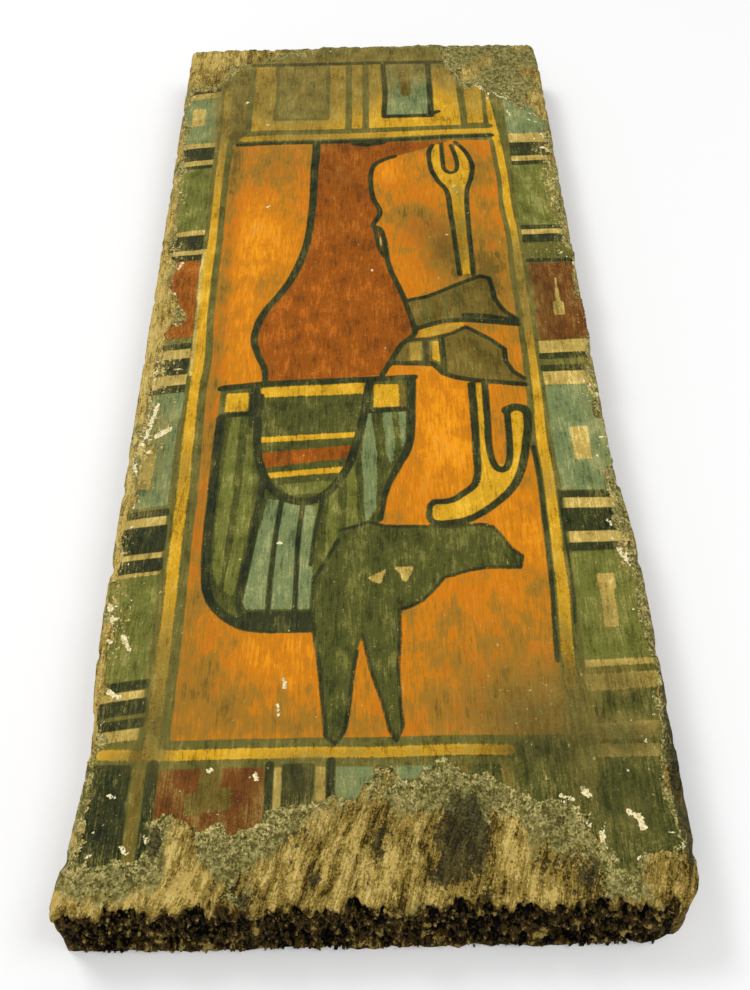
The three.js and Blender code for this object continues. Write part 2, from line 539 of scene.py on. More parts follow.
print("the shroud is drawn with", len(SHROUD_BACK) + len(SHROUD_FRONT), "places on two curves")

# %% The wig and the collar
WIG = (
    (-69, -19.5), (-50, -18), (24.3, -16.6), (22.6, -32), (21.6, -46), (19.6, -60), (14, -71), (8, -84),
    (5, -93), (5, -103), (-6, -110), (-22, -128), (-23, -152), (-38, -152), (-48, -150.5), (-57, -146.5),
    (-64.5, -139.5), (-68.6, -128), (-70, -80),
)
WIG_STRIPES = {
    "green": [
        ((-63.4, -38), (-59.4, -38), (-60.6, -100), (-61.6, -131), (-65.4, -122), (-66.4, -90)),
        ((-55.6, -50), (-53, -50), (-51, -95), (-55.4, -136), (-60, -132), (-57.4, -100)),
        ((-26.6, -86), (-21, -84), (-21, -112), (-26.6, -112)),
        ((-17.2, -84), (-13.2, -78), (-13.2, -114), (-17.2, -118)),
        ((-9.4, -76), (-5.2, -66), (-4.4, -106), (-9.4, -110)),
    ],
    "blue": [
        ((-44, -86), (-22.6, -91), (-23.4, -141.5), (-51.4, -141.5), (-48.6, -112)),
        ((1, -38), (3, -38), (4.8, -62), (3.6, -92), (-1.4, -102), (-2.2, -62)),
        ((7.6, -37), (11.8, -37), (12.8, -58), (11.4, -70), (9, -64)),
        ((14.8, -37), (18.2, -37), (17.2, -56), (15.4, -60)),
    ],
}
WIG_FOLDS = (
    (2.4, (-37.8, -86), (-41.4, -130), (-41.6, -143)),
    (2.4, (-28.4, -88), (-30.4, -130), (-30.4, -143)),
    (2.0, (-20, -88), (-23.6, -120)),
    (3.4, (-46.6, -70), (-49.7, -110), (-53.4, -138), (-50, -146)),
)
COLLAR = curve(
    (-50.5, -27), (-50.8, -45), (-50, -60), (-46.5, -73), (-41, -82.5), (-30.5, -88), (-20, -85.5),
    (-10, -72), (-5, -58), (-1, -40), (2, -20),
)


def paint_wig(p, head):
    """The wig's stripes run in behind the collar and the head."""
    in_front = union(p.polygon(*COLLAR), p.stroke(4, *COLLAR), head)
    p.polygons("dark", WIG)
    for coat, stripes in WIG_STRIPES.items():
        p.lay(coat, *(without(p.polygon(*stripe), in_front) for stripe in stripes))
    p.patches("brown", (13, 18.4, -35, -21))
    p.patches("yellow", (-66.4, -56.5, -36, -24.6), (3.9, 15.4, -35, -21, 0, 0.6))
    p.lay("line", *(without(p.stroke(*fold), in_front) for fold in WIG_FOLDS))
    p.lay("line", without(p.polygon((-52, -142.5), (-23, -142.5), (-23, -151.5), (-46, -151)), head))
    p.strokes("line",
              (4.2, *curve((-68, -40), (-69, -80), (-68.4, -122), (-65, -137), (-55.5, -146.5), (-44, -150.2),
                           (-23, -150.4))),
              (3.4, (-69, -21.6), (-50, -19.3), (0, -17.6), (23.5, -17)),
              ((4.4, 2.6), *curve((21.8, -18), (20.6, -45), (18.6, -59), (13, -71.6), (8, -84), (5.6, -98))),
              (2.6, (-67, -38.4), (-56, -37.6)),
              (3.0, (3, -37.2), (20, -36.4)))


def paint_collar(p):
    p.polygons("dark", COLLAR)
    p.polygons("green", ((-40.5, -78.4), (-14.6, -77), (-21, -83.6), (-34, -84.6)))
    p.polygons("red", ((-49, -60.4), (-5.4, -57), (-6.8, -64.4), (-46, -68.4)))
    p.polygons("yellow", ((-50.6, -21.6), (0.4, -19.8), (0.4, -26.4), (-50.6, -27.6)))
    p.strokes("yellow", (3.0, (-49.6, -53.3), (-5, -50.9)), (3.0, (-44.8, -73), (-11, -70.8)))
    p.strokes("line", (4.0, *COLLAR), (5.0, (-53.4, -24), (-53, -44)))


wig_ends = [y for x, y in WIG]
print("the wig hangs", round(max(wig_ends) - min(wig_ends)), "mm down")

# %% The jackal's head
MUZZLE = (
    (-12, -103.5), (0, -99.5), (8, -101.8), (32.4, -102.7), (50.5, -101.6), (55, -102.9), (58.7, -108),
    (61.7, -113.8), (65.8, -117.8), (64.4, -123.2), (50.5, -122.9), (43.3, -124), (32.4, -127.3),
    (27.4, -133.4), (22.4, -138.2), (17.6, -140.8), (12.9, -142.4),
)
NEAR_EAR = (
    (12.9, -156), (11.8, -168), (11.4, -184), (12.2, -192.5), (9.6, -198.4), (7.2, -194), (4.2, -182),
    (0.6, -169), (-2.4, -153.4),
)
FAR_EAR = (
    (-4.8, -161), (-6.6, -171), (-8.4, -186), (-9.9, -194.4), (-13, -199.2), (-16.6, -196), (-17.8, -184),
    (-19.6, -169), (-22.4, -152),
)
NECK = (
    (-23.4, -139), (-22.6, -127), (-17, -118), (-12, -108),
)


def paint_head(p, head):
    p.lay("dark", head)
    p.polygons("cream",
               ((0.2, -126.6), (7.8, -122.7), (5.9, -129.4), (3, -129)),
               ((11, -121.6), (19.8, -121.8), (17.4, -127), (15.2, -129.4), (13.4, -124.6)))
    p.strokes("line", (1.6, *MUZZLE), (1.6, MUZZLE[-1], *NEAR_EAR), (1.8, *FAR_EAR, *NECK))


nose_x = max(x for x, y in MUZZLE)
nape_x = min(x for x, y in NECK)
print("the head is", round(nose_x - nape_x), "mm from nape to nose")

# %% The hands and the sceptre
HOOK_OUTSIDE = curve(
    (65.6, -38.6), (70, -36.6), (75, -39), (75.6, -47), (74, -57), (70, -71), (64.5, -82.5), (55, -92.4),
    (44, -99), (31.5, -101), (27.4, -98), (27.6, -91.4),
)
HOOK_INSIDE = curve(
    (29.5, -89.2), (37, -88.8), (43, -85), (47.8, -80.6), (49.8, -73), (50.2, -60), (50.6, -40),
    (50.6, -22),
)
FORK_LEFT = curve(
    (41, 162), (38.6, 155), (39.2, 141), (42.4, 130), (47, 120), (47.8, 100), (48.6, 80), (49.4, 54),
)
FORK_RIGHT = curve(
    (56.4, 54), (57, 80), (56.6, 104), (57.6, 120), (61, 132), (62.2, 143), (59.4, 154), (53.6, 164),
)
UPPER_HAND = (
    (22, 35.5), (32.4, 38.6), (47, 46.4), (59.6, 52.3), (64.4, 50.5), (65.6, 44), (66.4, 35),
    (70.5, 26.4), (76.5, 20.5), (76.5, 17.6), (50.5, 20.6), (39.6, 20.4), (26, 15.5),
)
LOWER_HAND = (
    (19.6, 7.3), (32.4, 8), (44.2, 12), (50.5, 16), (61.5, 8), (68, 1), (68, -7), (71, -14), (76.5, -20),
    (76, -22.5), (60, -20), (50.5, -18.8), (43.3, -17.3), (37.6, -14.4), (33, -8.8), (11.8, -7.4),
)


def paint_sceptre(p):
    prongs = p.polygon(*FORK_LEFT, *FORK_RIGHT)
    slot = union(p.patch(45.6, 52.6, 141, 175, corner=3), p.stroke(7.4, (49, 142), (50, 170)))
    hook = p.polygon(*HOOK_OUTSIDE, *HOOK_INSIDE, (56.4, -22), (56.6, -60), (58, -70), (64, -64), (66.6, -50))
    notch = p.stroke(6.6, *curve((61.6, -24), (61, -45), (61, -56), (60.6, -66)))
    p.lay("yellow", without(prongs, slot), without(hook, notch))
    p.strokes("line",
              (2.9, *FORK_LEFT),
              (2.9, *FORK_RIGHT),
              (2.6, *curve((46, 163), (46, 148), (46.8, 139.6), (50.4, 136.6), (53.6, 140.4), (53.2, 150),
                           (51, 161))),
              ((4.8, 2.8), *HOOK_OUTSIDE),
              ((3.0, 3.8), *HOOK_INSIDE),
              (3.0, (27.6, -91.4), (29.5, -89.2)),
              (3.4, *curve((56.6, -22), (56.4, -45), (56, -60), (57.6, -70), (61.2, -72.6), (64.4, -68),
                           (66, -56), (66, -38.6))))


def paint_hands(p):
    p.polygons("brown", UPPER_HAND, LOWER_HAND)
    p.patches("yellow", (22, 27.4, -6, 5.4))
    p.polygons("yellow", ((28, 15), (49, 19.4), (50, 16.6), (35, 10.4), (27.4, 9)),
               ((32.8, 6), (36, 6.6), (36.4, -7.4), (32.6, -6)))
    p.strokes("edging",
              (2.4, (31.6, 37), (31.4, 20)),
              (2.0, (41, 41), (41.6, 22)),
              (1.8, (48, 45), (47, 26)),
              (1.6, (54, 2), (62, -4), (70, -10)))
    p.strokes("line",
              (2.6, *UPPER_HAND[:9]),
              (3.0, *UPPER_HAND[9:]),
              (3.0, (50, 24), (62, 23), (75, 20)),
              (2.2, *LOWER_HAND[:4]),
              (2.4, (50.5, 16), *LOWER_HAND[4:8], (76, -18.6)),
              (3.0, *LOWER_HAND[9:]),
              (3.0, (29.8, 7), (29.6, -8)),
              (3.0, (37.6, 8), (38.4, -13)))


hand_ends = [y for x, y in UPPER_HAND + LOWER_HAND]
print("the hands hold the shaft between", min(hand_ends), "and", max(hand_ends), "mm")

# %% The whole picture
PARTS_BEHIND = (paint_field, paint_frame, paint_foot_boxes, paint_borders, paint_head_frieze, paint_shroud)
PARTS_IN_FRONT = (paint_collar, paint_sceptre, paint_hands)


def painted(x, y):
    """For every place: how far inside each coat of paint it is, in millimetres."""
    # A hand-held brush wanders a little, so the places are shifted by a slow wave before anything is drawn.
    places = joined(x, y, 0)
    p = Picture(x + 0.5 * lumps(places, (19, 27, 9)), y + 0.5 * lumps(places + 50, (27, 19, 9)))
    head = p.polygon(*MUZZLE, *NEAR_EAR, *FAR_EAR, *NECK)
    for paint_part in PARTS_BEHIND:
        paint_part(p)
    paint_wig(p, head)
    paint_head(p, head)
    for paint_part in PARTS_IN_FRONT:
        paint_part(p)
    return p.coats


sample = painted(np.array([0.0, -100.0]), np.array([60.0, -60.0]))
print("at the middle of the shroud the red is", round(float(sample["red"][0]), 1), "mm in from its edge")

# %% [markdown]
# ## Where the plaster still holds
#
# The painter first coated the wood with a skin of plaster about a millimetre thick. It has flaked away
# along the broken end, down both sides and from two corners. Each loss is a line that the plaster has
# retreated to, with a handful of points for its big bays and tongues. Random lumps of two sizes then make
# it crumble.

# %% The edge of the plaster
NEAR_LOSS = (
    (-118, -243), (-80, -244), (-78.6, -229), (-70, -226.5), (-63, -230), (-59, -237), (-55, -229.5),
    (-51, -236), (-46, -231), (-40, -229.5), (-33, -224.5), (-15, -220), (-3, -219), (6, -211), (12, -218),
    (20, -214), (27, -206.5), (34, -210), (45, -214), (53, -226.5), (57, -221), (73, -220.5), (78, -230),
    (84, -238), (87, -246), (92, -247.5), (100, -240), (120, -238),
)
FAR_LOSS = (
    (120, 176), (110, 180), (106, 185), (100, 194), (94, 197), (92, 206), (88, 213), (78, 217), (62, 222),
    (56, 240), (50, 258), (48, 270), (-20, 270), (-26, 259), (-47, 255), (-58, 250), (-68, 248), (-77, 242),
    (-85, 231), (-92, 221.5), (-118, 221),
)
LEFT_LOSS = (
    (-260, 6), (-205, 2.5), (-160, 3), (-147, 5.5), (-125, 2.5), (-80, 5), (-68, 3), (-25, 5), (0, 10),
    (30, 12.5), (55, 11), (75, 6), (110, 5.5), (160, 4), (215, 4),
)
RIGHT_LOSS = (
    (-260, 5), (-200, 3.5), (-110, 3.5), (-50, 1.4), (60, 1.2), (95, 2.5), (145, 3), (180, 2),
)


def at_height(y, line):
    return np.interp(y, [p[0] for p in line], [p[1] for p in line])


def plaster(x, y):
    """How far inside the surviving plaster each place is, in millimetres."""
    d = Drawing(x, y)
    places = joined(x, y, 0)
    from_left = x - left_side(y) - at_height(y, LEFT_LOSS)
    from_right = right_side(y) - at_height(y, RIGHT_LOSS) - x
    held = np.minimum.reduce([d.polygon(*NEAR_LOSS, *FAR_LOSS), from_left, from_right])
    from_rim = np.minimum.reduce([x - left_side(y), right_side(y) - x, far_end(x) - y, y - NEAR_END])
    crumbled = 2.2 * lumps(places, (9, 13, 9)) + 1.9 * lumps(places + 40, (3.2, 5.6, 3.4), 2)
    return np.minimum(held + crumbled, from_rim - 0.4 + 0.5 * lumps(places, (4, 5, 4)))


def spots(x, y, places):
    """Soft round spots added together. Each is (x, y, reach across, reach along, strength)."""
    found = np.zeros(len(x))
    for at_x, at_y, across, along, strength in places:
        found += strength * hump(x, at_x, across) * hump(y, at_y, along)
    return found


CRUST_SPOTS = (
    (-95, 250, 24, 26, -0.9), (92, 242, 24, 30, 1.3), (62, 254, 13, 15, 1.0), (66, -235, 13, 13, 1.5),
    (90, -243, 9, 9, 0.8), (34, -222, 12, 7, 0.8), (-95, -247, 16, 8, 0.4), (-47, -234, 14, 9, 0.7),
    (14, -222, 22, 10, 0.6), (-64, -241, 8, 12, -0.8), (48, -242, 7, 12, -1.0), (8, -246, 9, 9, -0.6),
    (-14, -242, 12, 9, -0.5), (30, -244, 9, 5, -0.3), (-104, 30, 8, 60, -0.9), (-108, -100, 8, 90, -0.8),
    (-107, 150, 6, 50, -0.3), (50, -238, 6, 12, -0.8),
)


def crusted(x, y, held):
    """Above zero where a grey crust of old plaster clings, on the rim of the skin and the wood beside it."""
    places = joined(x, y, 0)
    patches = 0.8 * lumps(places + 80, (12, 15, 9), 3) + 0.25 * lumps(places + 110, (2.2, 3, 3), 2)
    reach = np.where(held < 0, ramp(held, -14, 0), ramp(held, 2.5, 0))
    return patches + 0.9 * reach - 2.5 * ramp(held, 1.5, 5) + spots(x, y, CRUST_SPOTS) - 0.5


middle_held = float(plaster(np.zeros(1), np.zeros(1))[0])
print("plaster at the middle is", round(middle_held), "mm from its nearest edge")

# %% [markdown]
# ## The wood
#
# The plank starts as a flat grid, which is given a thickness by extruding it, and its walls are cut into
# rows. Then only the parts that show bare wood close up are cut finer: the frayed end finest, then the
# sides and the corners. That spends the small faces where they can be seen. Last, every point moves from
# the plain block to its place on the worn plank.

# %% A block of wood, finer where it is bare
WOOD_ACROSS, WOOD_ALONG, WOOD_DEEP = 75, 132, 7
FRAYED = 0.115  # the share of the length, from the broken end, that is cut finest
SIDE_STRIP = 0.06  # the share of the width, at each side, that is cut finer
FAR_STRIP, FAR_CORNER_START = 0.43, 0.2  # the far corners lie beyond this length and this width, on each side
FRAY_CUTS, SIDE_CUTS = 4, 2
NEARLY = 0.001  # rounding leaves points this close to a line on either side of it


def cut_finer(shape, wanted, cuts):
    """Cuts every edge that has both its ends where it is wanted into cuts + 1, and the faces with it."""
    edges = [e for e in shape.edges if all(wanted(v.co) for v in e.verts)]
    bmesh.ops.subdivide_edges(shape, edges=edges, cuts=cuts, use_grid_fill=True)


def block():
    """A closed block: x and y from -0.5 to 0.5, and z from 0 to 1."""
    shape = bmesh.new()
    bmesh.ops.create_grid(shape, x_segments=WOOD_ACROSS, y_segments=WOOD_ALONG, size=0.5)
    made = bmesh.ops.extrude_face_region(shape, geom=shape.faces[:], use_keep_orig=True)
    raised = [v for v in made["geom"] if isinstance(v, bmesh.types.BMVert)]
    bmesh.ops.translate(shape, verts=raised, vec=(0, 0, 1))
    upright = [e for e in shape.edges if abs(e.verts[0].co.z - e.verts[1].co.z) > 0.5]
    bmesh.ops.subdivide_edges(shape, edges=upright, cuts=WOOD_DEEP - 1)
    near = FRAYED - 0.5
    wall = 0.5 - NEARLY

    def worn(p):
        """On a side, on the far end, or on the top close to them."""
        on_wall = abs(p.x) > wall or p.y > wall
        in_corner = p.y > FAR_STRIP and abs(p.x) > FAR_CORNER_START
        on_strip = p.z > 1 - NEARLY and (abs(p.x) > 0.5 - SIDE_STRIP or in_corner)
        return p.z > NEARLY and p.y >= near - NEARLY and (on_wall or on_strip)

    cut_finer(shape, lambda p: p.z > NEARLY and p.y < near, FRAY_CUTS)
    cut_finer(shape, worn, SIDE_CUTS)
    bmesh.ops.recalc_face_normals(shape, faces=shape.faces)
    return shape


def points_of(mesh):
    found = np.empty(len(mesh.vertices) * 3)
    mesh.vertices.foreach_get("co", found)
    return found.reshape(-1, 3)


def count_triangles(mesh):
    return sum(len(p.vertices) - 2 for p in mesh.polygons)


wood_mesh = mesh_of(block(), "plank_wood")
print("the wood has", count_triangles(wood_mesh), "triangles")

# %% [markdown]
# ## Weathering the wood
#
# Old coffin wood wears in its own direction. On the faces the soft part of the grain sinks and leaves
# long ridges. At the break the fibres stop at different lengths, in bundles a few millimetres across, and
# dark hollows open between the bundles. On the break's upper edge, tongues of sound wood reach out over a
# crumbled slope. All of it is a depth taken off the block.

# %% Worn places for every point of the wood
LEAN_FROM, GRAIN_LEAN = -205.0, 0.32  # nearer than this, the grain leans to the left by so much a millimetre
BED = 0.8  # how far the wood beside the plaster lies below the highest paint


def break_depth(x, z):
    """How much of the broken end has crumbled away, in millimetres, at each place on it."""
    on_end = joined(x, 0, z)
    bundles = 1.0 * chunks(on_end, (4.2, 9, 4.8)) + 0.5 * chunks(on_end + 90, (2.1, 9, 2.4))
    pits = 2.8 * ramp(lumps(on_end + 33, (4.4, 9, 4.4), 2), 0.1, 0.9)
    broad = 0.7 * lumps(on_end, (15, 9, 18)) + 0.9 * lumps(on_end + 61, (2.8, 9, 2.6), 2)
    return np.clip(1.4 + bundles + pits + broad, 0, 7)


def past_edge(places, from_end):
    """How far past the ragged upper edge of the break each place is, in millimetres."""
    across = joined(places[:, 0] + 0.3 * places[:, 1], 0.35 * places[:, 1], 0)
    tongue = 1.0 + 2.8 * lumps(across + 15, (6, 9, 9), 2) + 2.6 * lumps(across + 71, (2.6, 5, 9))
    return np.clip(tongue + 1.6 * lumps(places, (30, 60, 9)), 0.2, 8) - from_end


def crumbled_depth(places, past):
    """How deep the broken slope past that edge lies."""
    rough = 1 + 0.9 * lumps(places + 33, (3.2, 3.2, 9), 2)
    return np.clip(past, 0, 9) * 0.75 * rough + 1.3 * ramp(past, 0, 1.6)


def ridge_depth(places):
    """The long ridges of the grain."""
    slid = 3 * lumps(places, (50, 50, 30)) - GRAIN_LEAN * np.minimum(places[:, 1] - LEAN_FROM, 0)
    bent = places + joined(slid, 0, 0)
    broad = 0.55 * lumps(bent, (4.4, 26, 6), 3)
    thin = 0.5 * lumps(bent + 70, (1.8, 7, 1.9), 2)
    flakes = 0.5 * chunks(bent + 40, (4.2, 13, 30)) * ramp(places[:, 1], LEAN_FROM, LEAN_FROM - 20)
    return broad + thin + flakes + 0.35 * lumps(places + 25, (2.6, 3.4, 9), 2)


def weathered(mesh):
    """The places of the worn plank's points in millimetres, and some numbers that its finish reads."""
    u, v, height = (points_of(mesh) + (0.5, 0.5, 0)).T
    x, y = plank_plan(u, v, height)
    places = joined(x, y, THICKNESS * height)
    from_end = y - near_end(height)
    from_side = np.minimum(x - left_side(y), right_side(y) - x)

    # The top lies a little low under the plaster. Where it is bare, its grain is worn and crust clings to it.
    held = plaster(x, y)
    crust = np.clip(crusted(x, y, held), 0, 0.8)
    ridges = ridge_depth(places)
    to_break = ramp(y, NEAR_END + 34, NEAR_END)
    sunk = ramp(held, 0, -5) * (0.3 + 0.9 * to_break + np.clip(0.5 + ridges - 0.5 * crust, 0, 1.5))
    lumpy = 0.45 * crust * (1 + lumps(places + 44, (1.9, 2.3, 9)))
    top = THICKNESS - BED - 0.5 * ramp(held, 1, 4) - sunk + np.where(held < 1, lumpy, 0)

    # Then come the crumbled slope over the break, and the rounded upper edges.
    past = past_edge(places, from_end)
    notch = crumbled_depth(places, past) * (0.25 + 0.75 * ramp(from_side, 0, 12))
    worn_edge = 1.3 + 0.7 * ramp(x, 0, 90) * ramp(y, -100, -170)
    side_round = worn_edge * np.clip(1 - from_side / 3.6, 0, 1) ** 2
    far_round = 0.6 * np.clip(1 - (far_end(x) - y) / 3, 0, 1) ** 2
    z = height * (top - notch - (side_round + far_round))

    # The broken end is eaten back, and a few gaps open under its foot.
    eaten = break_depth(x, z) * ramp(from_end, 13, 0)
    eaten = eaten * (0.45 + 0.55 * ramp(height, 0, 0.3)) * (0.4 + 0.6 * ramp(from_side, 0, 9))
    y = y + eaten
    foot_gap = ramp(from_end, 5, 0) * np.clip(1.3 * lumps(places, (2.6, 4, 9), 2) + 0.2, 0, 2.2)
    z = np.where(height < NEARLY, foot_gap, z)

    # Last, small bites are taken out of the sides and the far end.
    along_side = joined(0, places[:, 1], z)
    rag = 0.4 * lumps(along_side, (9, 24, 9)) + 0.9 * lumps(along_side, (9, 5, 3), 2) - 0.1
    rag = np.clip(rag, 0, 2.2) * ramp(from_side, 5, 0) * (1 - 0.7 * ramp(from_end, 16, 4))
    x = x + np.where(x < 0, rag, -rag)
    far_rag = np.clip(0.1 + 1.3 * lumps(joined(x, 0, z), (3.2, 9, 4), 2), 0, 2.4)
    y = y - far_rag * ramp(far_end(x) - y, 4, 0)

    # hollow: depth in the break's hollows, which the finish paints as shade. break: the broken end, painted
    # dark wood and shade.
    hollow = np.clip((eaten - 0.6) / 2.2, 0, 1) * ramp(from_end, 12, 4) + 0.2 * ramp(notch, 0.5, 4)
    on_break = np.maximum(ramp(from_end, 2.5, 0) * ramp(height, 1, 0.9), ramp(past, -2.2, 2.2))
    return joined(x, y, np.clip(z, 0, THICKNESS)), {"hollow": hollow, "break": on_break, "ridge": ridges}


def placed(mesh, places, marks):
    """Puts a piece in the scene with its points here, and stores numbers on them for its finish."""
    mesh.vertices.foreach_set("co", in_metres(places).ravel())
    for name, values in marks.items():
        values = np.broadcast_to(values, len(places)).astype(np.float32)
        mesh.attributes.new(name, "FLOAT", "POINT").data.foreach_set("value", values)
    mesh.polygons.foreach_set("use_smooth", np.ones(len(mesh.polygons), bool))
    mesh.update()
    return into_scene(mesh.name, mesh)


# Pale (above zero) and dark spots on the bare wood.
WOOD_SHADES = (
    (-107, 0, 6, 300, 1.3), (-66, -244, 9, 8, 0.8), (50, -238, 6, 13, 1.0), (8, -247, 9, 6, 0.5),
    (-14, -243, 9, 8, 0.4), (97, -252, 10, 3, 0.5), (-96, -250, 12, 5, 0.3), (-90, 252, 20, 12, 1.0),
    (114, -215, 4, 40, -1.3), (35, -233, 10, 13, -1.8), (77, -249, 6, 8, -1.1), (-77.5, -235, 2.6, 6, -1.8),
    (24, -247, 7, 4, -0.9), (62, -242, 5, 5, -0.8), (-52, -240, 10, 4, -0.5), (-101, 243, 8, 3, -0.8),
    (5, -229, 5, 5, -0.7), (-24, -232, 8, 5, -0.6), (70, -231, 6, 6, -0.5), (-62, -253, 3, 4, 2.0),
    (-30, -252, 5, 3, 1.2), (-4, -255, 6, 3, 1.2), (18, -254, 4, 3, 1.4), (62, -254, 4, 3, 1.2),
    (90, -257, 4, 3, 1.4), (-45, -254, 4, 3, -1.0), (40, -254, 5, 3, -0.8), (-20, -248, 3, 5, -1.0),
    (2, -238, 3, 7, -0.9), (-84, -254, 6, 3, 0.9),
)

wood_places, wood_marks = weathered(wood_mesh)
wood_x, wood_y, wood_z = wood_places.T
wood_held = plaster(wood_x, wood_y)
wood_marks["held"] = wood_held
wood_marks["crust"] = crusted(wood_x, wood_y, wood_held)
wood_marks["shade"] = spots(wood_x, wood_y, WOOD_SHADES)
wood_marks["rise"] = wood_z / THICKNESS
plank = placed(wood_mesh, wood_places, wood_marks)
print("the deepest hollow at the break is", round(float(break_depth(wood_x, wood_z).max()), 1), "mm")

# %% [markdown]
# ## Loose fibre ends
#
# The break is not one surface. Short ends of fibre and crumbs of rotten wood stand on it and hang over
# its upper edge. More than a thousand of them would be slow to shape by hand. So each is a rough ball of
# twenty faces, stretched upwards or along the grain, and set half into the wood at a random place. They
# all go into one mesh.

# %% Crumbs and fibre ends on the break
CRUMBS_ON_BREAK, CRUMBS_ON_EDGE, CRUMBS_AT_FOOT = 1000, 500, 300
BALL_POINTS = 12  # a ball of twenty faces has twelve points
MOST_TIPPED, MOST_TURNED = 0.5, 0.6  # radians
WELL_CLEAR = -30  # millimetres, for wood that is far from any plaster


def crumb_places(chance):
    """Where each crumb sits, in millimetres, and its half sizes across, along and up."""
    across = (LEFT_SIDE + 4, RIGHT_SIDE - 3)
    x = chance.uniform(*across, CRUMBS_ON_BREAK + CRUMBS_AT_FOOT)
    on_break, at_foot = (1.4, THICKNESS - 4), (0.9, 3.5)
    z = np.append(chance.uniform(*on_break, CRUMBS_ON_BREAK), chance.uniform(*at_foot, CRUMBS_AT_FOOT))
    y = near_end(z / THICKNESS) + 0.7 * break_depth(x, z) * ramp(z, 0, 8) + chance.uniform(0.2, 1.2, len(x))
    edge_x = chance.uniform(*across, CRUMBS_ON_EDGE)
    from_end = chance.uniform(0.8, 7, CRUMBS_ON_EDGE)
    on_top = joined(edge_x, NEAR_END + from_end, 0)
    past = past_edge(on_top, from_end)
    edge_z = THICKNESS - 3.2 - crumbled_depth(on_top, past)
    on_slope = past > 0.8
    places = np.concatenate([joined(x, y, z), joined(edge_x, on_top[:, 1], edge_z)[on_slope]])
    corner_x, _ = rounded_corners(*places[:, :2].T, places[:, 2] / THICKNESS)
    inside = np.minimum(places[:, 0] - left_side(places[:, 1]), right_side(places[:, 1]) - places[:, 0])
    sound = (inside > 3) & (np.abs(corner_x - places[:, 0]) < 0.3)
    size = chance.uniform(0.4, 1.1, (len(places), 1)) * chance.uniform(0.6, 1.1, (len(places), 3))
    stretch = (1, 1.3, 2)
    return places[sound], size[sound] * stretch


def fibre_ends():
    chance = np.random.default_rng(5)
    shape = bmesh.new()
    for place, size in zip(*crumb_places(chance)):
        tip = Matrix.Rotation(chance.uniform(-MOST_TIPPED, MOST_TIPPED), 4, "X")
        turn = Matrix.Rotation(chance.uniform(-MOST_TURNED, MOST_TURNED), 4, "Z")
        set_in = Matrix.Translation(Vector(place)) @ (tip @ turn) @ Matrix.Diagonal((*size, 1))
        bmesh.ops.create_icosphere(shape, subdivisions=1, radius=1, matrix=set_in)
    return shape


fibre_mesh = mesh_of(fibre_ends(), "fibre_ends")
fibre_places = points_of(fibre_mesh)
fibre_places += 0.35 * joined(*(lumps(fibre_places + 17 * k, (1.0, 1.3, 1.0)) for k in range(3)))
fibre_places[:, 2] = np.clip(fibre_places[:, 2], 0, THICKNESS)
# A random darkness for each crumb, which the finish paints as hollow shade.
ball_shades = np.random.default_rng(8).uniform(-0.2, 0.6, len(fibre_places) // BALL_POINTS)
fibres = placed(fibre_mesh, fibre_places, {
    "hollow": np.repeat(ball_shades, BALL_POINTS),
    "break": 0.75 + 0.25 * ramp(fibre_places[:, 1], NEAR_END + 7, NEAR_END),
    "ridge": 0.2,
    "held": WELL_CLEAR,
    "crust": -1,
    "shade": 0,
    "rise": fibre_places[:, 2] / THICKNESS,
})
print(len(ball_shades), "fibre ends have", count_triangles(fibre_mesh), "triangles")

# %% [markdown]
# ## The skin of plaster
#
# The plaster is a thin closed slab with a ragged outline and true thickness, so its broken edges catch
# the light. It starts as a coarse grid. Cells outside the surviving plaster are taken away, the grid's
# rim is pulled onto the exact edge, and the sheet is extruded down into the wood. Only the top is then
# cut finer: the picture is stored on its points, and nobody sees the underside.

# %% A thin slab of the surviving plaster
SKIN_ACROSS, SKIN_ALONG, SKIN_CUTS = 66, 158, 2
SKIN_FOOT = 1.5  # how far its underside lies below the highest paint, sunk a little into the wood
EDGE_TRIES = 3
EDGE_STEP = 0.2  # how far apart the plaster is looked at, to find which way its edge lies
COARSE_MOVE, FINE_MOVE = 2.6, 0.9  # the longest moves onto the edge, about half a cell


def onto_edge(x, y, longest):
    """Moves places straight to the plaster's edge, by no more than the longest move in millimetres."""
    most = longest / EDGE_TRIES
    for _ in range(EDGE_TRIES):
        here = plaster(x, y)
        slope_x = (plaster(x + EDGE_STEP, y) - plaster(x - EDGE_STEP, y)) / (2 * EDGE_STEP)
        slope_y = (plaster(x, y + EDGE_STEP) - plaster(x, y - EDGE_STEP)) / (2 * EDGE_STEP)
        steep = np.maximum(slope_x**2 + slope_y**2, 0.3)
        step = np.clip(-here / steep, -most, most)
        x, y = x + step * slope_x, y + step * slope_y
    return x, y


def move_points(points, x, y):
    for point, new_x, new_y in zip(points, x, y):
        point.co.x, point.co.y = new_x, new_y


def plan_of(points):
    return np.array([(p.co.x, p.co.y) for p in points]).T


